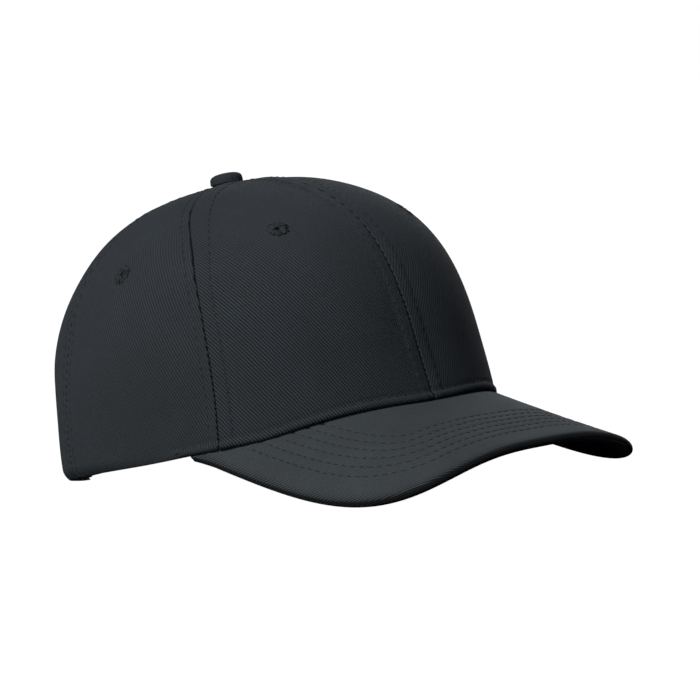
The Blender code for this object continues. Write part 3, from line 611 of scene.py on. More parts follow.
def twill_material(name, angle, colour=TWILL_BLACK, deep=1.0, contrast=1.0, faded_ribs_painted_lit_top=False, painted_edge_shade=False):
    """Brushed twill: slanted ribs of short yarn floats under a thin nap."""
    n = Nodes(name)
    u, v = n.cloth_xy()
    turn_cos, turn_sin = math.cos(math.radians(angle)), math.sin(math.radians(angle))
    along = n.plus(n.times(u, turn_cos), n.times(v, turn_sin))
    across = n.minus(n.times(v, turn_cos), n.times(u, turn_sin))
    across = n.plus(across, n.times(n.minus(n.noise(260.0), 0.5), 0.5 * MM))
    count = n.math("DIVIDE", across, RIB_PITCH * MM)
    wave = n.arches(count)
    stagger = n.times(n.math("FLOOR", count), 0.37)
    floats = n.power(n.arches(n.plus(n.math("DIVIDE", along, FLOAT_PITCH * MM), stagger)), 0.5)
    fuzz = n.noise(1500.0, 3.0, 0.7)
    nap = n.noise(4200.0, 2.0, 0.6)
    height = n.weighted((n.power(wave, 0.7), 0.62), (floats, 0.16), (fuzz, 0.32), (nap, 0.12))
    ribs = n.times(n.minus(n.power(wave, 1.1), 0.6), 1.5 * contrast)
    # Rib contrast fades towards the top of the crown.
    if faded_ribs_painted_lit_top:
        level = n.add("ShaderNodeSeparateXYZ", {0: n.rest_place()})[2]
        ribs = n.times(ribs, n.ramp(level, 0.085, 0.125, 1.0, 0.25))
    lightness = n.plus(n.plus(ribs, 1.0), n.times(n.minus(fuzz, 0.5), 1.1))
    lightness = n.times(lightness, n.ramp(n.noise(38.0, 3.0, 0.6), 0.3, 0.7, 0.92, 1.08))
    # Painted light: the top of the crown is painted up to 12% lighter, for the light it catches.
    if faded_ribs_painted_lit_top:
        lightness = n.times(lightness, n.ramp(level, 0.060, 0.12, 1.0, 1.12))
    # Painted shade: the cloth is darkened where the marked share is high, in a fringe that follows the ribs,
    # for the shadow in seams, under the roll over the visor and on the visor's edge and underside.
    if painted_edge_shade:
        fringe = n.plus(n.marked("edge"), n.times(n.minus(0.5, wave), 0.55))
        lightness = n.times(lightness, n.ramp(fringe, 0.32, 0.66, 1.0, 0.06))
    return n.finish({
        "Base Color": n.mix(n.ramp(lightness, 0.0, 2.4), shade(colour, 0.03), shade(colour, 2.4)),
        "Normal": n.bump(height, 0.34 * MM * deep),
        "Roughness": n.ramp(fuzz, 0.3, 0.7, 0.82, 0.95),
        "Specular IOR Level": 0.25,
        "Sheen Weight": 0.06,
        "Sheen Roughness": 0.5,
        "Sheen Tint": (0.8, 0.9, 1.0, 1.0),
    })


def thread_material(name, colour=(0.024, 0.027, 0.030), blotches=0.0):
    """Plied sewing thread, with painted shade, near black, where it dives into the cloth."""
    n = Nodes(name)
    twist = n.noise(2600.0, 2.0, 0.6)
    tint = n.mix(twist, shade(colour, 0.6), shade(colour, 1.5))
    if blotches:
        light = n.ramp(n.noise(520.0, 2.0, 0.6), 0.42, 0.60, 1.0 - blotches, 1.0 + blotches)
        tint = n.mix(n.ramp(light, 0.0, 2.0), shade(colour, 0.0), shade(colour, 2.1))
    return n.finish({
        # Painted shade: near black where the thread dives into the cloth.
        "Base Color": n.mix(n.marked("painted_hole_shade"), tint, (0.002, 0.002, 0.0025, 1.0)),
        "Normal": n.bump(twist, 0.12 * MM),
        "Roughness": 0.7,
        "Specular IOR Level": 0.3,
    })


def plain_weave_material(name, colour, pitch=0.55, open_weave=0.0):
    """Over-and-under weave in cloth millimetres."""
    n = Nodes(name)
    yarns = [n.power(n.arches(n.times(way, 1.0 / (pitch * MM))), 0.5 + open_weave) for way in n.cloth_xy()]
    grid = n.times(*yarns)
    fuzz = n.noise(1900.0, 3.0, 0.7)
    light = n.weighted((grid, 0.7), (fuzz, 0.6))
    return n.finish({
        "Base Color": n.mix(n.ramp(light, 0.2, 1.2), shade(colour, 0.45), shade(colour, 1.2)),
        "Normal": n.bump(n.weighted((grid, 0.8), (fuzz, 0.4)), 0.16 * MM),
        "Roughness": 0.9,
        "Sheen Weight": 0.2,
    })


def metal_material(name, rough=0.32):
    """Plated pressed steel with fine brushing and a blotchy tone."""
    n = Nodes(name)
    stretched = n.add("ShaderNodeMapping", {"Vector": n.rest_place(), "Scale": (1.0, 1.0, 22.0)})[0]
    brushed = n.noise(900.0, 3.0, 0.6, stretched)
    spots = n.noise(240.0, 4.0, 0.65)
    return n.finish({
        "Base Color": n.mix(n.ramp(spots, 0.35, 0.75), shade(STEEL, 0.72), shade(STEEL, 1.1)),
        "Metallic": 1.0,
        "Roughness": n.ramp(brushed, 0.25, 0.75, rough * 0.75, rough * 1.35),
        "Normal": n.bump(brushed, 0.02 * MM),
    })


def board_material():
    """Moulded visor board."""
    n = Nodes("visor_board_plastic")
    grain = n.noise(700.0, 3.0)
    return n.finish({
        "Base Color": n.mix(grain, (0.5, 0.51, 0.52, 1.0), (0.6, 0.6, 0.6, 1.0)),
        "Normal": n.bump(grain, 0.05 * MM),
        "Roughness": 0.6,
    })


twill = {}
for cut, _middle, _row, slant, contrast in PANEL_PLAN:
    twill[cut] = twill_material("twill_" + cut, slant, TWILL_BLACK, 0.5 + contrast, contrast, True, True)
visor_twill = twill_material("twill_visor", -45.0, VISOR_BLACK_PAINTED_LIGHTER, deep=0.7, contrast=0.3, painted_edge_shade=True)
under_twill = twill_material("twill_visor_under", -45.0, contrast=0.5, painted_edge_shade=True)
button_twill = twill_material("twill_button", 30.0, deep=0.12, contrast=0.12)
strap_twill = twill_material("twill_strap", 50.0, contrast=0.7)
thread = thread_material("black_thread")
visor_thread = thread_material("visor_thread", (0.026, 0.032, 0.039))
eyelet_thread = thread_material("eyelet_thread", (0.033, 0.037, 0.041), blotches=0.45)
lining = plain_weave_material("black_cotton_lining", (0.020, 0.021, 0.024))
sweat_cotton = plain_weave_material("sweatband_cotton", (0.026, 0.028, 0.031), pitch=0.7)
buckram = plain_weave_material("pale_buckram", (0.60, 0.585, 0.54), pitch=1.1, open_weave=0.5)
label_tape = plain_weave_material("white_label_tape", (0.72, 0.71, 0.68), pitch=0.4)
buckle_steel = metal_material("buckle_steel")
button_steel = metal_material("button_steel", rough=0.45)
visor_board_plastic = board_material()


# ---- crown panels ----


def row_offset(theta, z, middle, row):
    """Distance of a stitch row from its seam: the front panels' outer rows stand off more towards the top."""
    outer_side = (np.abs(theta) > abs(middle)) & (row == FRONT_ROW)
    return np.where(outer_side, 6.9 + 2.2 * smooth_step((z - 60.0) / 40.0), row)


def seam_relief(distance, row, lap):
    """Height of the cloth beside a sewn seam: crease, turned allowance, then the groove of its stitch row."""
    allowance = (0.20 + lap) * smooth_step(distance / 0.8) * (1.0 - smooth_step((distance - row + 0.4) / 1.8))
    return -0.85 * bell(distance, 0.34) + allowance - 0.22 * bell(distance - row, 0.6)


def hem_tuck(theta, z):
    """How far the sides and back of the hem curl in towards the head."""
    where = smooth_step((wrapped(theta) - math.radians(72.0)) / math.radians(40.0))
    return where * 1.9 * np.clip(1.0 - z / 5.0, 0.0, 1.0) ** 2


def over_visor(theta):
    """One along the visor's seam, fading just past its corners."""
    return 1.0 - smooth_step((wrapped(theta) - VISOR_HALF_ANGLE - 0.03) / 0.10)


def seam_distance(theta, point, middle):
    """How far a point on a panel is from the panel's nearer seam."""
    return (HALF_PANEL - np.abs(theta - middle)) * off_axis(point)


def visor_seam_relief(theta, above):
    """The roll of cloth over the visor seam, below its row of topstitching."""
    roll = 0.95 * np.sin(math.pi * np.clip((above + 0.5) / 3.9, 0.0, 1.0)) ** 0.8
    return over_visor(theta) * (roll - 0.34 * bell(above - WELT_ROW, 0.65))


def panel_relief(theta, phi, middle, row):
    """All the small height changes of a panel's cloth, in millimetres."""
    point = crown_surface(theta, phi)
    z = point[..., 2]
    distance = seam_distance(theta, point, middle)
    row = row_offset(theta, z, middle, row)
    lap = 0.28 if abs(middle) < 1.0 else 0.0
    relief = seam_relief(distance, row, lap) * smooth_step(off_axis(point) / 9.0)
    above = z - edge_height(theta)
    relief = relief + visor_seam_relief(theta, above)
    way_along = z + 0.35 * off_axis(point)
    pucker = np.sin(way_along * 2.0 * math.pi / STITCH_PITCH + soft_noise(point, 20.0, start=5, waves=4))
    relief = relief + 0.07 * pucker * bell(distance - row + 1.0, 2.2)
    gathers = np.sin(theta * 90.0 * 2.0 * math.pi / 5.3 + 1.6 * soft_noise(point, 18.0, start=25, waves=4))
    relief = relief + 0.09 * gathers * over_visor(theta) * bell(above - WELT_ROW, 2.4)
    relief = relief + 0.30 * soft_noise(point, 30.0) * smooth_step(distance / 9.0)
    relief = relief + 0.13 * soft_noise(point, 10.0, start=12) * bell(distance, 14.0)
    return relief - hem_tuck(theta, z)


def seam_shade(theta, phi, middle):
    """Painted shade: dark lines in the seams, and under the roll over the visor."""
    point = crown_surface(theta, phi)
    above = point[..., 2] - edge_height(theta)
    in_seam = 0.95 * bell(seam_distance(theta, point, middle), 0.55)
    return np.maximum(in_seam, over_visor(theta) * bell(above + 0.1, 0.8))


def seam_spacing(dense=24, middle=21, share=0.125):
    """Column places across a panel, 0 to 1, close together near both seams."""
    edge = share * np.linspace(0.0, 1.0, dense) ** 1.45
    inner = np.linspace(share, 1.0 - share, middle + 1)[1:-1]
    return np.concatenate([edge, inner, 1.0 - edge[::-1]])


def panel_thetas(middle, is_back):
    spaced = middle - HALF_PANEL + 2.0 * HALF_PANEL * seam_spacing()
    if not is_back:
        return spaced
    arch_x = ARCH_HALF_WIDTH * np.cos(np.linspace(0.0, math.pi / 2, 44)) ** 1.05
    arch = np.abs(back_theta(arch_x))
    solid = np.abs(spaced)
    kept = solid[solid < arch.min() - 0.012]
    every = np.unique(np.concatenate([kept, arch[arch < math.pi - 1e-4], [math.pi]]))
    return every if middle > 0 else -every[::-1]


def eyelet_phi(middle):
    """How high up the crown a panel's eyelet sits."""
    theta = np.array([middle])
    bottom = phi_at(theta, edge_height(theta))
    top = phi_at_radius(theta, TOP_HOLE_RADIUS)
    return float((bottom + (top - bottom) * EYELET_LEVEL)[0])


def spans(surface, theta, phi, step):
    """The steps over a surface between this far each side, and this far down and up."""
    round_way = surface(theta + step, phi) - surface(theta - step, phi)
    return round_way, surface(theta, phi + step) - surface(theta, phi - step)


def surface_scale(theta, phi):
    """Millimetres per radian round and up the crown at one place."""
    step = 0.01
    return [np.linalg.norm(way) / (2.0 * step) for way in spans(crown_surface, theta, phi, step)]


def open_hole(theta, phi, middle):
    """Moves a grid apart round its eyelet, and returns the cell to leave out."""
    target = eyelet_phi(middle)
    wide, tall = surface_scale(middle, target)
    column = int(np.searchsorted(theta[:, 0], middle)) - 1
    row = int(np.searchsorted(phi[column], target)) - 1
    nudge = target - (phi[column, row] + phi[column, row + 1]) / 2.0
    phi = phi + nudge * bell((phi - target) * tall, 14.0) * bell((theta - middle) * wide, 14.0)
    shift = middle - (theta[column, row] + theta[column + 1, row]) / 2.0
    theta = theta + shift * bell((theta - middle) * wide, 6.0)
    a, b = (theta - middle) * wide, (phi - target) * tall
    reach = np.hypot(a, b) + 1e-9
    least = EYELET_OPENING * 0.6
    pushed = least + reach * (EYELET_REACH - least) / EYELET_REACH
    grow = np.where(reach < EYELET_REACH, pushed / reach, 1.0)
    return middle + a * grow / wide, target + b * grow / tall, (column, row)


def panel_map(points, middle):
    """Cloth millimetres across and up a panel, from its middle line."""
    angle = np.arctan2(points[..., 0], BUTTON_Y - points[..., 1]) - middle
    across = np.arctan2(np.sin(angle), np.cos(angle)) * off_axis(points)
    low = float(phi_at(np.array([middle]), np.array([0.0]))[0])
    phi = np.linspace(low, float(phi_at_radius(np.array(middle), TOP_HOLE_RADIUS)), 200)
    line = crown_surface(np.full(200, middle), phi)
    height = run_length(line)
    up = np.interp(points[..., 2], line[:, 2], height)
    flat_top = np.interp(off_axis(points), off_axis(line)[::-1], height[::-1])
    blend = smooth_step((points[..., 2] / CROWN_HEIGHT - 0.86) / 0.1)
    return np.stack([across, between(up, flat_top, blend)], -1)


def make_panel(name, middle, row):
    """One panel of the crown, turned in along its bottom edge and open at its eyelet."""
    thetas = panel_thetas(middle, "back" in name)
    bottom = phi_at(thetas, edge_height(thetas))
    if "back" in name:
        bottom = np.maximum(bottom, phi_at(thetas, arch_height(hem_xy(thetas)[0])))
    top = phi_at_radius(thetas, TOP_HOLE_RADIUS)
    steps = np.linspace(0.0, 1.0, PANEL_ROWS)
    steps = steps - 0.10 * np.sin(math.pi * steps) * (1.0 - steps)
    phi = bottom[:, None] + (top - bottom)[:, None] * steps
    theta = np.repeat(thetas[:, None], PANEL_ROWS, axis=1)
    theta, phi, (column, up) = open_hole(theta, phi, middle)
    relief = panel_relief(theta, phi, middle, row)
    outer = crown_skin(theta, phi, -relief)
    inner = crown_skin(theta, phi, -np.clip(relief, -3.0, 0.4) * 0.6 + CLOTH)
    down = unit(outer[:, 0] - outer[:, 1])
    turned = []
    for share, drop in ((0.88, 0.35), (0.5, 0.6), (0.12, 0.35)):
        turned.append(outer[:, 0] * (1.0 - share) + inner[:, 0] * share + down * drop)
    loop = np.concatenate([inner[:, ::-1], np.stack(turned, 1), outer], axis=1)
    hole = (column, PANEL_ROWS + len(turned) + up, PANEL_ROWS - 2 - up)
    item = loop_sheet(name + "_cloth", loop, twill[name], panel_map(loop, middle), hole)
    # Painted shade in the seams and under the roll over the visor, marked on the outer face for the twill to
    # darken.
    outside = seam_shade(theta, phi, middle)
    mark(item, "edge", np.concatenate([0.0 * outside, 0.0 * outside[:, :3], outside], axis=1))
    finish_sheet(item, "twill", name, outer)


# ---- threads ----


def stitches(
    name, lines, material=None, pitch=STITCH_PITCH, length=STITCH_LENGTH, radius=THREAD_RADIUS, sink=0.03,
    body="crown",
):
    """Rows of separate stitches; each line is (points, outward normals) in the cap's frame."""
    verts, faces, painted_hole_shade = [], [], []
    sides, rings = 6, 7
    wobble = np.random.default_rng(len(name))
    t = np.linspace(0.0, 1.0, rings)
    ends = np.abs(2.0 * t - 1.0)
    lift = radius * 0.7 - sink - 1.3 * radius * ends**3
    thick = radius * (1.0 - 0.25 * ends**6)
    for points, normals in lines:
        lengths = run_length(points)
        count = int(lengths[-1] // pitch)
        for k in range(count):
            at = (k + 0.5) * lengths[-1] / count - length / 2.0 + wobble.normal() * 0.12 + t * length
            middle = np.stack([np.interp(at, lengths, points[:, c]) for c in range(3)], -1)
            normal = unit(np.stack([np.interp(at, lengths, normals[:, c]) for c in range(3)], -1))
            side = np.cross(unit(np.gradient(middle, axis=0)), normal)
            lean = (t - 0.5) * 0.22 + wobble.normal() * 0.05
            middle = middle + normal * lift[:, None] + side * lean[:, None]
            faces += tube_faces(rings, sides, len(verts) * sides * rings)
            verts.append(tube(middle, side, normal, thick * 1.15, thick, sides))
            # Painted shade at both ends of each stitch, where it dives into the cloth.
            painted_hole_shade.append(np.repeat((ends - 0.72) / 0.2, sides))
    item = mesh_object(name, np.concatenate(verts), faces, material or thread)
    mark(item, "painted_hole_shade", np.concatenate(painted_hole_shade))
    finish_piece(item, "thread", body)


def panel_line(theta, phi, middle, row):
    """A line on the outside of a panel, with its normals."""
    relief = panel_relief(theta, phi, middle, row)
    return crown_skin(theta, phi, -relief), crown_normal(theta, phi)


def seam_rows():
    """One row of topstitching on each side of every crown seam."""
    lines = []
    for name, middle, row, _slant, _contrast in PANEL_PLAN:
        for side in (-1.0, 1.0):
            seam = np.array(middle + side * HALF_PANEL)
            low = float(edge_height(seam)) + WELT_ROW + 1.2
            if "back" in name and abs(abs(seam) - math.pi) < 0.01:
                low = ARCH_HEIGHT + 3.0
            elif wrapped(seam) > VISOR_HALF_ANGLE:
                low = 2.0
            phi = np.linspace(float(phi_at(seam, low)), float(phi_at_radius(seam, 11.0)), 90)
            point = crown_surface(np.full_like(phi, seam), phi)
            offset = row_offset(seam - side * 0.02, point[:, 2], middle, row)
            lines.append(panel_line(seam - side * offset / off_axis(point), phi, middle, row))
    return lines


def visor_seam_row():
    """The row of topstitching just above the visor seam, running down to the hem at both ends."""
    lines = []
    reach = VISOR_HALF_ANGLE + 0.085
    for _name, middle, row, _slant, _contrast in PANEL_PLAN:
        low, high = max(middle - HALF_PANEL, -reach), min(middle + HALF_PANEL, reach)
        if low >= high:
            continue
        theta = np.linspace(low + 0.006, high - 0.006, 60)
        above = WELT_ROW * (1.0 - 0.6 * smooth_step((np.abs(theta) - VISOR_HALF_ANGLE) / 0.08))
        phi = phi_at(theta, edge_height(theta) + above)
        lines.append(panel_line(theta, phi, middle, row))
    return lines


def arch_curve(angle, beyond, power):
    """Level and upright places round the back opening, this far outside its edge."""
    c, s = np.cos(angle), np.sin(angle)
    return (ARCH_HALF_WIDTH + beyond) * np.sign(c) * np.abs(c) ** power, (ARCH_HEIGHT + beyond) * s**power


def arch_rows():
    """Two rows of topstitching round the opening at the back."""
    lines = []
    for beyond in (1.8, 7.6):
        x, z = arch_curve(np.radians(np.linspace(4.0, 176.0, 240)), beyond, 2.0 / ARCH_ROUNDNESS)
        for side in (1.0, -1.0):
            half = x * side > 0.4
            theta = back_theta(x[half])
            lines.append(panel_line(theta, phi_at(theta, z[half]), BACK_MIDDLE * side, SIDE_ROW))
    return lines


# ---- eyelets and button ----


def make_eyelet(name, middle, seed):
    """A close satin-stitched ring: a soft core with threads laid over it from hole to rim."""
    rng = np.random.default_rng(seed)
    level = eyelet_phi(middle)
    wide, tall = surface_scale(middle, level)

    def skin(a, b, rise):
        """A point a to the side and b up from the middle, this far over the crown."""
        return crown_skin(middle + a / wide, level + b / tall, -rise)

    round_way = crown_skin(middle + 0.02, level, 0.0) - crown_skin(middle - 0.02, level, 0.0)
    up_way = crown_skin(middle, level + 0.02, 0.0) - crown_skin(middle, level - 0.02, 0.0)
    normal = unit(np.cross(round_way, up_way))
    verts, faces, painted_hole_shade = [], [], []
    threads, rings, sides = 54, 9, 5
    t = np.linspace(0.0, 1.0, rings)
    thick = 0.12 + 0.20 * smooth_step(t / 0.8)
    lean = rng.uniform(0.0, 2.0 * math.pi)
    for k in range(threads):
        bearing = 2.0 * math.pi * (k + rng.normal() * 0.45) / threads
        radius = EYELET_INSIDE + (4.7 + rng.normal() * 0.28 - EYELET_INSIDE) * t
        swirl = bearing + 0.20 * (t - 0.5)
        rise = 0.10 + 0.62 * np.sin(math.pi * np.clip(t * 0.9 + 0.12, 0.0, 1.0)) ** 0.7
        rise = rise + 0.16 * math.cos(bearing - lean) * t - np.clip(1.0 - t / 0.16, 0.0, 1.0) ** 2
        rise = rise + rng.normal() * 0.11
        rise[-1] -= 0.5
        line = skin(radius * np.cos(swirl), radius * np.sin(swirl), rise)
        way = unit(np.gradient(line, axis=0))
        side = unit(np.cross(way, normal))
        faces += tube_faces(rings, sides, k * rings * sides)
        verts.append(tube(line, side, np.cross(side, way), thick, thick, sides))
        # Painted shade where each thread dives into the hole.
        painted_hole_shade.append(np.repeat(1.0 - t / 0.16, sides))
    radius, rise = np.array(EYELET_CORE).T
    steps, many, first = 40, len(EYELET_CORE), threads * rings * sides
    a = around(steps)[:, None]
    verts.append(skin(radius * np.cos(a), radius * np.sin(a), rise + 0.0 * a).reshape(-1, 3))
    # Painted shade in the hole, and a little over the rest of the core.
    painted_hole_shade.append(np.tile(np.where(radius < 1.25, 1.0, 0.15), steps))
    for k in range(steps):
        one, other = first + k * many, first + (k + 1) % steps * many
        for m in range(many):
            n = (m + 1) % many
            faces.append((one + m, other + m, other + n, one + n))
    node = name.replace("panel", "eyelet")
    item = mesh_object(node + "_thread", np.concatenate(verts), faces, eyelet_thread)
    mark(item, "painted_hole_shade", np.concatenate(painted_hole_shade))
    finish_piece(item, "thread", nodes=[node])


def make_button():
    """Cloth pulled over a pressed dome and gathered under its rim."""
    over = []
    for a in np.linspace(0.02, 1.0, 26) * math.pi / 2:
        over.append((7.35 * math.sin(a) ** 0.8, 1.9 + 3.75 * math.cos(a) ** 0.62))
    profile = np.array(over + BUTTON_UNDERSIDE)
    rng = np.random.default_rng(3)
    folds, sides = 14, 120
    depths = rng.uniform(0.4, 1.0, folds)
    places = 2.0 * math.pi * (np.arange(folds) + rng.normal(size=folds) * 0.2) / folds
    a = around(sides)
    gap = np.arctan2(np.sin(a - places[:, None]), np.cos(a - places[:, None]))
    push = -(0.34 * depths[:, None] * bell(gap, 0.09)).sum(0)
    step = np.arange(len(profile))
    strength = smooth_step((profile[:, 0] - 4.6) / 2.6) * (0.4 + 0.6 * step / len(over))
    strength[step > len(over) + 2] = 0.0
    radius = profile[:, :1] + strength[:, None] * push
    rings = np.stack([radius * np.cos(a), BUTTON_Y + radius * np.sin(a), 0.0 * radius + profile[:, 1:]], -1)
    rings[..., 2] += CROWN_HEIGHT + TOP_LIFT
    along = run_length(profile)[:, None]
    uv = np.stack([along * np.cos(a), along * np.sin(a)], -1)
    faces = tube_faces(len(profile), sides)
    item = mesh_object("button_cloth", rings.reshape(-1, 3), faces, button_twill, uv)
    finish_piece(item, "twill", nodes=["button_cover"], flat=(22.0, 22.0), area=380.0)


# ---- the visor ----


def visor_outline(beta):
    """The visor's outer edge in plan, by angle from the wearer's left."""
    reach = HALF_LENGTH + VISOR_REACH + VISOR_CORNER_Y
    c, s = np.cos(beta), np.sin(beta)
    power = VISOR_SQUARENESS
    rho = (np.abs(c / VISOR_CORNER_X) ** power + np.abs(s / reach) ** power) ** (-1.0 / power)
    return rho * c, VISOR_CORNER_Y - rho * s


BEND_X = np.linspace(0.0, VISOR_CORNER_X * 1.05, 400)
BEND_ARC = run_length(np.stack([BEND_X, VISOR_RISE * (BEND_X / VISOR_CORNER_X) ** VISOR_BEND], -1))
VISOR_TILT = math.hypot(1.0, VISOR_SLOPE)


def visor_flat(x, y):
    """The visor's sheet rolled out flat: x by arc length round the bend, y along the slope."""
    return np.sign(x) * np.interp(np.abs(x), BEND_X, BEND_ARC), y * VISOR_TILT


def visor_unflat(a, b):
    return np.sign(a) * np.interp(np.abs(a), BEND_ARC, BEND_X), b / VISOR_TILT


def visor_normal(x, y):
    step = 0.2
    slope_x = (visor_height(x + step, y) - visor_height(x - step, y)) / (2.0 * step)
    slope_y = (visor_height(x, y + step) - visor_height(x, y - step)) / (2.0 * step)
    return unit(np.stack([-slope_x, -slope_y, np.ones_like(x)], -1))


OUTLINE_BETA = np.linspace(0.02, math.pi - 0.02, 700)
OUTLINE_FLAT = np.stack(visor_flat(*visor_outline(OUTLINE_BETA)), -1)


def edge_distance(x, y):
    """Flat distance from the visor's outer edge."""
    a, b = visor_flat(x, y)
    points = np.stack([np.ravel(a), np.ravel(b)], -1)
    best = np.full(len(points), 1e9)
    start, way = OUTLINE_FLAT[:-1], np.diff(OUTLINE_FLAT, axis=0)
    length2 = (way**2).sum(1)
    for k in range(0, len(points), 4000):
        p = points[k : k + 4000, None] - start[None]
        t = np.clip((p * way[None]).sum(-1) / length2[None], 0.0, 1.0)
        gap = p - t[..., None] * way[None]
        best[k : k + 4000] = np.sqrt((gap**2).sum(-1)).min(1)
    return best.reshape(np.shape(x))


def visor_relief(x, y):
    """Channels pulled in by the stitch rows, with the cloth puffed between them."""
    distance = edge_distance(x, y)
    relief = 0.0 * x
    for row in VISOR_ROWS:
        relief = relief - 0.30 * bell(distance - row, 0.9)
    sewn = smooth_step((distance - VISOR_ROWS[0] + 3.0) / 3.0)
    sewn = sewn * (1.0 - smooth_step((distance - VISOR_ROWS[-1]) / 4.0))
    relief = relief + 0.035 * np.sin((x * 0.9 + y * 0.45) * 2.0 * math.pi / STITCH_PITCH) * sewn
    # A turned seam runs just inside the outer edge.
    relief = relief - 0.12 * bell(distance - 3.4, 0.9)
    return relief + 0.10 * soft_noise(np.stack([x, y, 0.0 * x], -1), 22.0, start=20)


def visor_seam_xy(u):
    theta = u * VISOR_HALF_ANGLE
    edge = crown_surface(theta, phi_at(theta, edge_height(theta)))
    return edge[..., 0], edge[..., 1]


def make_visor():
    """The visor's two covers, meeting halfway round its rolled edge."""
    even = np.linspace(-1.0, 1.0, VISOR_COLUMNS)
    u = 0.992 * (0.45 * np.sin(even * math.pi / 2) + 0.55 * even)
    seam_x, seam_y = visor_seam_xy(u)
    out_x, out_y = visor_outline(math.pi / 2 - u * math.pi / 2)
    width = np.hypot(seam_x - out_x, seam_y - out_y)[:, None]
    radius = VISOR_THICKNESS / 2.0
    inset = np.minimum(radius / width, 0.45)
    even = np.linspace(0.0, 1.0, 120)
    v = even * (1.0 - inset) - 0.8 / width * (1.0 - even) ** 8
    x = seam_x[:, None] * (1.0 - v) + out_x[:, None] * v
    y = seam_y[:, None] * (1.0 - v) + out_y[:, None] * v
    normal = visor_normal(x, y)
    surface = np.stack([x, y, visor_height(x, y)], -1)
    relief = (visor_relief(x, y) - 0.5 * bell(v * width - 0.1, 1.1)) * smooth_step((1.0 - even) / 0.03)
    top = surface + normal * relief[..., None]
    under = surface - normal * (VISOR_THICKNESS + 0.6 * relief)[..., None]
    lip, up = surface[:, -1], normal[:, -1]
    outward = np.stack([out_x, out_y, visor_height(out_x, out_y)], -1) - lip
    outward = unit(outward - (outward * up).sum(-1, keepdims=True) * up)
    reach = np.minimum(radius, inset * width)
    rolled = []
    for a in np.radians(np.linspace(78.0, -78.0, ROLL_STEPS)):
        bulge = 1.0 + 0.10 * math.cos(a) ** 2
        rolled.append(lip - up * radius + outward * (reach * math.cos(a) * bulge) + up * radius * math.sin(a))
    rolled = np.stack(rolled, 1)
    flat = np.stack(visor_flat(x, y), -1)
    way = unit(np.stack(visor_flat(out_x, out_y), -1) - flat[:, -1])
    edge_steps = radius * math.radians(156.0) / (ROLL_STEPS - 1) * (1.0 + np.arange(ROLL_STEPS))
    edge_uv = flat[:, -1:] + way[:, None] * edge_steps[None, :, None]
    inner_top = surface - normal * VISOR_COVER
    inner_under = surface - normal * (VISOR_THICKNESS - VISOR_COVER)
    from_edge = (1.0 - v) * width - inset * width
    # Painted shade: a dark band along the top cover's outer edge, growing darker round the rolled edge; the
    # under cover is painted dark all over.
    rim = 0.55 * np.clip(1.0 - from_edge / EDGE_BAND, 0.0, 1.0) ** 1.3
    full = np.ones_like(v)
    roll = np.linspace(0.0, 1.0, ROLL_STEPS) * full[:, :1]
    half = 8
    over, below = slice(0, half), slice(half, ROLL_STEPS)
    for node, material, part, first, last, shades in (
        ("visor_top_cover", visor_twill, over, top, inner_top, (rim, 0.55 + 1.6 * roll[:, over], full)),
        ("visor_under_cover", under_twill, below, inner_under, under, (full, full[:, below], 0.55 * full)),
    ):
        loop = np.concatenate([first, rolled[:, part], last[:, ::-1]], 1)
        uv = np.concatenate([flat, edge_uv[:, part], flat[:, ::-1]], 1)
        item = loop_sheet(node + "_cloth", loop, material, uv)
        mark(item, "edge", np.concatenate(shades, 1))
        finish_sheet(item, "twill", node, top)


def visor_rows(side):
    """The visor's curved rows of stitching, on its top (1) or underneath (-1)."""
    lines = []
    seam_a, seam_b = visor_flat(*visor_seam_xy(np.linspace(-0.995, 0.995, 300)))
    way = unit(np.gradient(OUTLINE_FLAT, axis=0))
    inward = np.stack([-way[:, 1], way[:, 0]], -1)
    centre = np.array([0.0, OUTLINE_FLAT[:, 1].mean()])
    if ((centre - OUTLINE_FLAT) * inward).sum() < 0:
        inward = -inward
    for row in VISOR_ROWS:
        a, b = (OUTLINE_FLAT + inward * row).T
        x, y = visor_unflat(a, b)
        good = (b < np.interp(a, seam_a, seam_b) - VISOR_ROW_MARGIN) & (edge_distance(x, y) > row - 0.05)
        x, y = x[good], y[good]
        normal = visor_normal(x, y)
        relief = visor_relief(x, y)
        rise = relief if side > 0 else -VISOR_THICKNESS - 0.6 * relief
        lines.append((np.stack([x, y, visor_height(x, y)], -1) + normal * rise[:, None], normal * side))
    return lines


# ---- inside the crown ----


def make_stiffener(name, side):
    """Stiff open weave behind one front panel."""
    middle = FRONT_MIDDLE * side
    thetas = middle + math.radians(28.4) * np.linspace(-1.0, 1.0, 40)
    low = phi_at(thetas, edge_height(thetas) + HEM_FOLD_HEIGHT + 1.2)
    top = phi_at_radius(thetas, STIFFENER_TOP_RADIUS)
    rows = 70
    phi = low[:, None] + (top - low)[:, None] * np.linspace(0.0, 1.0, rows)
    theta, phi, (column, row) = open_hole(np.repeat(thetas[:, None], rows, axis=1), phi, middle)
    outer, inner = [crown_skin(theta, phi, depth) for depth in STIFFENER]
    hole = (column, row, 2 * rows - 2 - row)
    item = two_faced(name + "_weave", outer, inner, buckram, edge=None, hole=hole)
    finish_sheet(item, "buckram", name, outer)


def tape_line(theta_seam, across, depth):
    """A line up a seam tape, this far to the side of its middle."""
    seam = np.array(theta_seam)
    base = float(edge_height(seam)) + HEM_FOLD_HEIGHT + 1.2
    if abs(theta_seam - math.pi) < 0.01:
        base = ARCH_HEIGHT + 11.5
    phi = np.linspace(float(phi_at(seam, base)), float(phi_at_radius(seam, TAPE_TOP_RADIUS)), 110)
    theta = theta_seam + across / off_axis(crown_surface(np.full_like(phi, theta_seam), phi))
    return crown_skin(theta, phi, depth), -crown_normal(theta, phi)


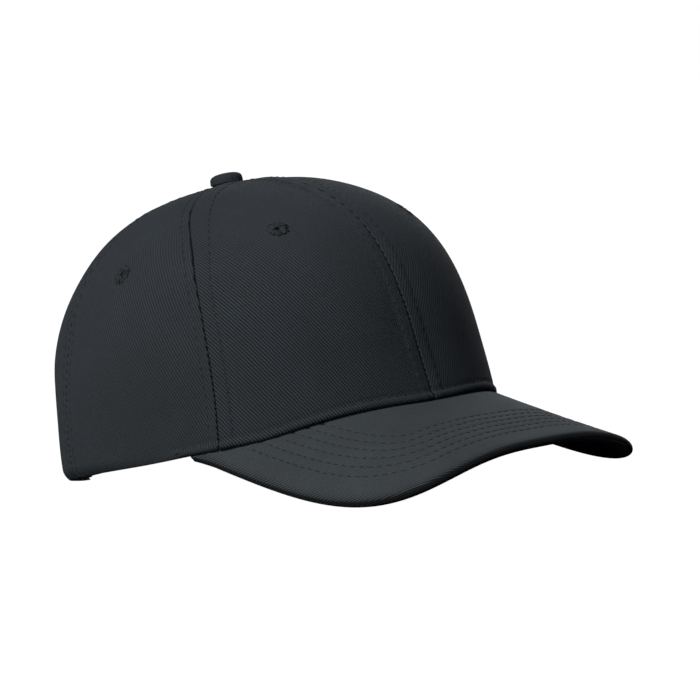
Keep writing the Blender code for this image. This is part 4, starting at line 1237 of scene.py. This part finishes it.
def make_seam_tape(name, theta_seam):
    """Tape over a seam's allowances inside the crown, with a groove at each row."""
    across = np.linspace(-0.5, 0.5, 15) * TAPE_WIDTH
    puff = 0.25 * np.abs(np.cos(math.pi * across / TAPE_WIDTH)) - 0.2 * bell(np.abs(across) - TAPE_ROW, 0.5)
    outer = np.stack([tape_line(theta_seam, a, SEAM_TAPE[0])[0] for a in across])
    inner = np.stack([tape_line(theta_seam, a, SEAM_TAPE[1] + p)[0] for a, p in zip(across, puff)])
    item = two_faced(name + "_cloth", outer, inner, lining, edge=None)
    finish_sheet(item, "lining", name, outer)


def band_end(end_psi):
    """The crown's angle where a band of this half opening stops."""
    return float(np.abs(back_theta(END_RADIUS * math.sin(end_psi))))


def make_band(node, depths, low, high, end_psi, material, rows, swell=0.0, hem=None):
    """A band round the inside of the crown, from one side of the back opening to the other."""
    thetas = np.linspace(-band_end(end_psi), band_end(end_psi), 260)
    t = np.linspace(0.0, 1.0, rows)
    z = edge_height(thetas)[:, None] + low + (high - low) * t
    theta = np.repeat(thetas[:, None], rows, axis=1)
    phi = phi_at(theta, z)
    depth = depths[1] + 0.0 * z
    if swell:
        depth = depth + swell * np.sin(math.pi * t) ** 0.5 - 0.35 * bell((high - low) * (1.0 - t) - 2.4, 0.8)
        depth = depth + 0.18 * soft_noise(np.stack([theta * 80.0, z, 0.0 * z], -1), 12.0, start=8)
    outer, inner = crown_skin(theta, phi, depths[0]), crown_skin(theta, phi, depth)
    item = two_faced(node + "_cloth", outer, inner, material)
    if hem is None:
        return finish_piece(item, "lining", nodes=[node])
    return finish_sheet(item, "lining", node, outer, parts=[hem])


def band_row(depth, height, end_psi):
    """A line along the inside of a band, with its normals."""
    end = band_end(end_psi) - 0.02
    thetas = np.linspace(-end, end, 500)
    phi = phi_at(thetas, edge_height(thetas) + height)
    return crown_skin(thetas, phi, depth), -crown_normal(thetas, phi)


def make_arch_tape():
    """Tape round the inside edge of the back opening, above the strap."""
    angle = np.radians(np.linspace(41.0, 139.0, 90))[:, None]
    x, z = arch_curve(angle, np.linspace(0.8, 10.4, 12), 0.9)
    theta = back_theta(x)
    theta = np.where(theta < 0.0, theta + 2.0 * math.pi, theta)
    outer, inner = [crown_skin(theta, phi_at(theta, z), depth) for depth in ARCH_TAPE]
    item = two_faced("arch_tape_cloth", outer, inner, lining)
    finish_sheet(item, "lining", "arch_tape", outer)


def make_label():
    """Blank care label sewn to the inside of the sweatband by its top edge."""
    thetas = np.radians(np.linspace(101.0, 117.0, 24))
    theta, z = np.meshgrid(thetas, np.linspace(5.0, 30.0, 24), indexing="ij")
    hang = 1.0 - (z - 5.0) / 25.0
    lift = 0.9 + 0.9 * hang**2 + 0.25 * np.sin(theta * 40.0) * hang
    outer, inner = [crown_skin(theta, phi_at(theta, z), depth + lift) for depth in LABEL]
    item = two_faced("care_label_cloth", outer, inner, label_tape, edge=0.1)
    finish_sheet(item, "label", "care_label", outer, held="hung", rests_on=["sweatband_cloth"])


# ---- the closure ----


def curl(pin, radius, start, end, steps):
    """Points of an arc round a pin, given as its (psi, depth), that is parallel to the strap's axis."""
    angles = np.radians(start + (end - start) * np.arange(steps + 1) / steps)
    psi, depth = pin
    reach = END_RADIUS - depth
    return [(psi + radius * math.cos(a) / reach, depth - radius * math.sin(a)) for a in angles]


def lofted(name, rings, uv, material):
    """A solid through rings of points, capped at both ends."""
    rings = np.array(rings)
    faces = tube_faces(len(rings), rings.shape[1])
    return mesh_object(name, rings.reshape(-1, 3), faces, material, uv)


def swept(name, section, psis, material):
    """A (depth, z) section swept round the strap's axis."""
    section = np.array(section)
    rings = [strap_point(psi, section[:, 0], section[:, 1]) for psi in psis]
    uv = np.stack(np.meshgrid(psis * END_RADIUS, run_length(section), indexing="ij"), -1)
    return lofted(name, rings, uv, material)


def upright(name, outline, levels, material, pinch=None):
    """A (psi, depth) outline drawn up through these heights; pinch gives how far each level is drawn in."""
    outline = np.array(outline)
    rings = []
    for z, share in zip(levels, pinch or [0.0] * len(levels)):
        psi, depth = (outline + (outline.mean(0) - outline) * np.array([0.0, share])).T
        rings.append(strap_point(psi, depth, z))
    along = run_length(outline * np.array([END_RADIUS, 1.0]))
    uv = np.stack(np.meshgrid(np.array(levels), along, indexing="ij"), -1)[..., ::-1]
    return lofted(name, rings, uv, material)


def metal_piece(item, width, **more):
    """Rounds a piece's sharp edges and attaches it to its body."""
    bevel = item.modifiers.new("rounded_edges", "BEVEL")
    bevel.width = width * MM
    bevel.segments = 3
    bevel.limit_method = "ANGLE"
    bevel.angle_limit = math.radians(35.0)
    item.modifiers.new("face_normals", "WEIGHTED_NORMAL").keep_sharp = True
    finish_piece(item, "buckle_metal", **more)


def strap_section():
    """The strap's section as (depth, z), with rounded edges and a shallow groove under each edge row."""
    out, inn = STRAP
    low, high = STRAP_BOTTOM + 0.7, STRAP_TOP - 0.7
    half = (inn - out) / 2.0
    z = np.linspace(low, high, 40)
    groove = 0.13 * bell(z - STRAP_BOTTOM - STRAP_ROW, 0.6) + 0.13 * bell(z - STRAP_TOP + STRAP_ROW, 0.6)
    points = list(zip(out + groove, z))
    for edge, way in ((high, 1.0), (low, -1.0)):
        for a in np.radians([50.0, 0.0, -50.0]) * way:
            points.append((out + half - half * math.sin(a), edge + way * 0.7 * math.cos(a)))
        if edge == high:
            points += [(inn, level) for level in z[::-1]]
    return points


def strap_line(psi, depth, z, face):
    """A line on the strap or tab, with its normals; face is 1 outside and -1 inside."""
    away = np.stack([np.sin(psi), np.cos(psi), 0.0 * psi], -1)
    return strap_point(psi, depth, z), away * face


def make_strap():
    """Doubled twill strap, stitched along both edges."""
    psis = np.linspace(STRAP_FROM, STRAP_TO, 220)
    item = swept("closure_strap_cloth", strap_section(), psis, strap_twill)
    size = (STRAP_TOP - STRAP_BOTTOM, (STRAP_TO - STRAP_FROM) * (END_RADIUS - 2.0))
    finish_piece(item, "twill", "strap", ["closure_strap"], flat=size)
    psi = np.linspace(STRAP_FROM + 0.02, STRAP_TO - 0.02, 300)
    rows = []
    for z in (STRAP_BOTTOM + STRAP_ROW, STRAP_TOP - STRAP_ROW):
        rows.append(strap_line(psi, STRAP[0] + 0.13, z, 1.0))
        rows.append(strap_line(psi, STRAP[1], z, -1.0))
    stitches("strap_stitching", rows, body="strap", pitch=3.4, length=2.5, radius=0.2)


def lever_outline(face, under):
    """The lever's section: a plate curled round its pin."""
    plate_end = LEVER_PIN[0] - 1.6 / (END_RADIUS - LEVER_PIN[1])
    points = [(LEVER_TIP, under), (LEVER_TIP, face)]
    points += [(psi, face) for psi in np.linspace(LEVER_TIP, plate_end, 16)[1:]]
    points += curl(LEVER_PIN, 1.4, 120.0, -150.0, 26)
    points += curl(LEVER_PIN, 0.85, -150.0, 140.0, 26)
    points += [(psi, under) for psi in np.linspace(plate_end, LEVER_TIP, 16)[:-1]]
    return points


def make_buckle():
    """Pressed frame with its crossbar, the pin, and the lever that turns on it."""
    low, high = STRAP_BOTTOM - BUCKLE_SIDE_GAP, STRAP_TOP + BUCKLE_SIDE_GAP
    near, far = BUCKLE_PLATE
    half = [(far, high + BUCKLE_WALL), (BUCKLE_PROUD, high + BUCKLE_WALL), (BUCKLE_PROUD, high), (near, high)]
    mirrored = [(depth, low + high - z) for depth, z in half[::-1]]
    section = mirrored[-1:] + half + mirrored[:-1]
    pressed = swept("buckle_frame_pressed", section, np.linspace(BUCKLE_FROM, BUCKLE_TO, 41), buckle_steel)
    bar = upright("buckle_crossbar", curl(CROSSBAR, 0.8, *WHOLE_TURN), [low - 0.6, high + 0.6], buckle_steel)
    metal_piece(pressed, 0.28, nodes=["buckle_frame"])
    metal_piece(bar, 0.1)
    circle = curl(LEVER_PIN, 0.6, *WHOLE_TURN)
    pin = upright("buckle_pin_turned", circle, [low + 0.2, high - 0.2], buckle_steel)
    metal_piece(pin, 0.1, nodes=["buckle_pin"])
    levels = np.linspace(low + 0.35, high - 0.35, 9)
    lever = upright("buckle_lever_pressed", lever_outline(-0.75, 0.25), levels, buckle_steel)
    metal_piece(lever, 0.22, body="lever", nodes=["buckle_lever"])


def make_tab():
    """Short loop of cloth that ties the buckle's crossbar to the wearer's left panel, with its box stitch."""
    start = math.radians(37.0)
    outer_face, inner_face = -1.5, -0.35
    reach = END_RADIUS - CROSSBAR[1]
    neck = CROSSBAR[0] + 2.6 / reach
    points = [(start, inner_face), (start, outer_face)]
    points += [(psi, outer_face) for psi in np.linspace(start, neck, 24)[1:]]
    points += curl(CROSSBAR, 1.75, 60.0, 310.0, 24)
    points += curl(CROSSBAR, 1.1, 310.0, 30.0, 24)
    points += [(psi, inner_face) for psi in np.linspace(neck, start, 24)[:-1]]
    low, high = STRAP_BOTTOM + 0.6, STRAP_TOP - 0.6
    levels = [low, low + 0.12] + list(np.linspace(low + 0.4, high - 0.4, 14)) + [high - 0.12, high]
    pinch = [0.30, 0.08] + [0.0] * 14 + [0.08, 0.30]
    item = upright("buckle_tab_cloth", points, levels, strap_twill, pinch)
    finish_piece(item, "twill", nodes=["buckle_tab"], flat=(high - low, 34.0), held="folded")
    psi_a, psi_b = start - 1.6 / reach, neck + 2.2 / reach
    z_a, z_b = low + 1.8, high - 1.8
    box = [(psi_a, z_a), (psi_b, z_a), (psi_b, z_b), (psi_a, z_b)]
    t = np.linspace(0.0, 1.0, 40)
    rows = []
    for one, other in ((0, 1), (1, 2), (2, 3), (3, 0), (0, 2), (1, 3)):
        (psi_1, z_1), (psi_2, z_2) = box[one], box[other]
        rows.append(strap_line(psi_1 + (psi_2 - psi_1) * t, outer_face, z_1 + (z_2 - z_1) * t, 1.0))
    stitches("tab_box_stitching", rows, pitch=2.6, length=2.1, radius=0.2, sink=0.05)


# ---- putting it together ----

for seed, (panel, middle_line, stitch_row, _slant, _contrast) in enumerate(PANEL_PLAN):
    make_panel(panel, middle_line, stitch_row)
    make_eyelet(panel, middle_line, seed)
make_stiffener("stiffener_front_left", 1.0)
make_stiffener("stiffener_front_right", -1.0)
for tape, tape_seam in SEAM_PLAN:
    make_seam_tape(tape, tape_seam)
hem = make_band("hem_fold", HEM_FOLD, 0.6, HEM_FOLD_HEIGHT, POCKET_END + 0.02, lining, 8)
make_band("sweatband", SWEATBAND, 0.8, SWEATBAND_HEIGHT, SWEATBAND_END, sweat_cotton, 40, 0.5, hem)
make_arch_tape()
make_label()
make_button()
make_visor()
make_strap()
make_buckle()
make_tab()
stitches("seam_topstitching", seam_rows(), sink=0.12)
stitches("visor_seam_topstitching", visor_seam_row())
stitches("arch_topstitching", arch_rows())
stitches("visor_topstitching", visor_rows(1.0), visor_thread, length=3.2, sink=0.12)
stitches("visor_under_topstitching", visor_rows(-1.0), length=3.2, sink=0.16)
tape_rows = []
for _tape, tape_seam in SEAM_PLAN:
    for tape_side in (-TAPE_ROW, TAPE_ROW):
        tape_rows.append(tape_line(tape_seam, tape_side, SEAM_TAPE[1]))
stitches("tape_stitching", tape_rows, sink=0.0)
sweatband_row = band_row(SWEATBAND[1] + 0.15, SWEATBAND_HEIGHT - SWEATBAND_ROW, SWEATBAND_END)
stitches("sweatband_stitching", [sweatband_row], sink=0.0)

for node, material in (
    ("button_shell", button_steel), ("button_back", button_steel), ("visor_board", visor_board_plastic)
):
    materials = bpy.data.objects[node].data.materials
    materials.clear()
    materials.append(material)


# ---- camera, floor and light ----

CAMERA_AZIMUTH = math.radians(-42.94)
CAMERA_HEIGHT = math.radians(-1.55)
CAMERA_ROLL = math.radians(-11.15)
CAMERA_DISTANCE = 2550.0
CAMERA_AIM = np.array([0.0, -21.2, 53.0])
VIEW_WIDTH = 308.9
AIM_RIGHT, AIM_DOWN = 25.3, 15.5
LIGHT_DISTANCE, LIGHT_SIZE, LIGHT_AIM = 2.2, 1.1, Vector((0.0, 0.0, 0.06))
FLOOR_HALF = 8.0
# Each light's azimuth, height and power.
LIGHTS = (
    ("key", -80.0, 40.0, 33.5),
    ("fill", -48.0, 40.0, 4.5),
    ("rim", 145.0, 38.0, 1.0),
    ("side", 118.0, 10.0, 11.0),
)


def put(item, spot):
    """Adds a lamp, a camera or the floor to the scene."""
    item.location = spot
    bpy.context.scene.collection.objects.link(item)
    return item


def make_camera():
    """A far camera, a little below level and rolled, aimed beside the cap's middle."""
    a, e, r = CAMERA_AZIMUTH, CAMERA_HEIGHT, CAMERA_ROLL
    back = np.array([math.sin(a) * math.cos(e), -math.cos(a) * math.cos(e), math.sin(e)])
    level = np.array([math.cos(a), math.sin(a), 0.0])
    up = np.cross(back, level)
    right = math.cos(r) * level + math.sin(r) * up
    up = -math.sin(r) * level + math.cos(r) * up
    spot = CAMERA_AIM + back * CAMERA_DISTANCE + right * AIM_RIGHT - up * AIM_DOWN
    data = bpy.data.cameras.new("camera")
    data.sensor_width = 36.0
    data.lens = 18.0 / (VIEW_WIDTH / 2.0 / CAMERA_DISTANCE)
    data.clip_start, data.clip_end = 0.1, 30.0
    camera = put(bpy.data.objects.new("camera", data), place(spot))
    turned = Matrix([Vector(turn(v)) for v in (right, up, back)]).transposed().to_4x4()
    camera.matrix_world = Matrix.Translation(Vector(place(spot))) @ turned
    bpy.context.scene.camera = camera


def make_light(name, azimuth, height, power):
    """A soft square light, azimuth 0 in front of the visor and 90 at the wearer's left."""
    a, h = math.radians(azimuth), math.radians(height)
    level = LIGHT_DISTANCE * math.cos(h)
    spot = (level * math.sin(a), -level * math.cos(a), LIGHT_DISTANCE * math.sin(h) + LIGHT_AIM.z)
    data = bpy.data.lights.new(name, "AREA")
    data.shape = "RECTANGLE"
    data.size = data.size_y = LIGHT_SIZE
    data.energy = power
    lamp = put(bpy.data.objects.new(name, data), spot)
    lamp.rotation_euler = (LIGHT_AIM - Vector(spot)).to_track_quat("-Z", "Y").to_euler()


def make_floor():
    """A floor that is plain white to the camera and throws a little light back at the cap."""
    mesh = bpy.data.meshes.new("floor")
    corners = [(x * FLOOR_HALF, y * FLOOR_HALF, 0.0) for x, y in ((-1, -1), (1, -1), (1, 1), (-1, 1))]
    mesh.from_pydata(corners, [], [(0, 1, 2, 3)])
    n = Nodes("pale_floor")
    mesh.materials.append(n.finish({
        "Base Color": (0.10, 0.10, 0.105, 1.0),
        "Emission Strength": n.add("ShaderNodeLightPath")["Is Camera Ray"],
        "Emission Color": WHITE,
        "Roughness": 0.95,
        "Specular IOR Level": 0.0,
    }))
    put(bpy.data.objects.new("floor", mesh), (0.0, 0.0, -0.0002))


def make_world():
    """White to the camera, dim to the object."""
    n = Nodes("studio", "worlds", "Background")
    seen = n.add("ShaderNodeLightPath")["Is Camera Ray"]
    colour = n.mix(seen, SKY, WHITE)
    bpy.context.scene.world = n.finish({"Color": colour, "Strength": n.ramp(seen, 0.0, 1.0, 0.025, 1.0)})


make_camera()
make_floor()
make_world()
for light in LIGHTS:
    make_light(*light)
bpy.context.scene.view_settings.view_transform = "Standard"
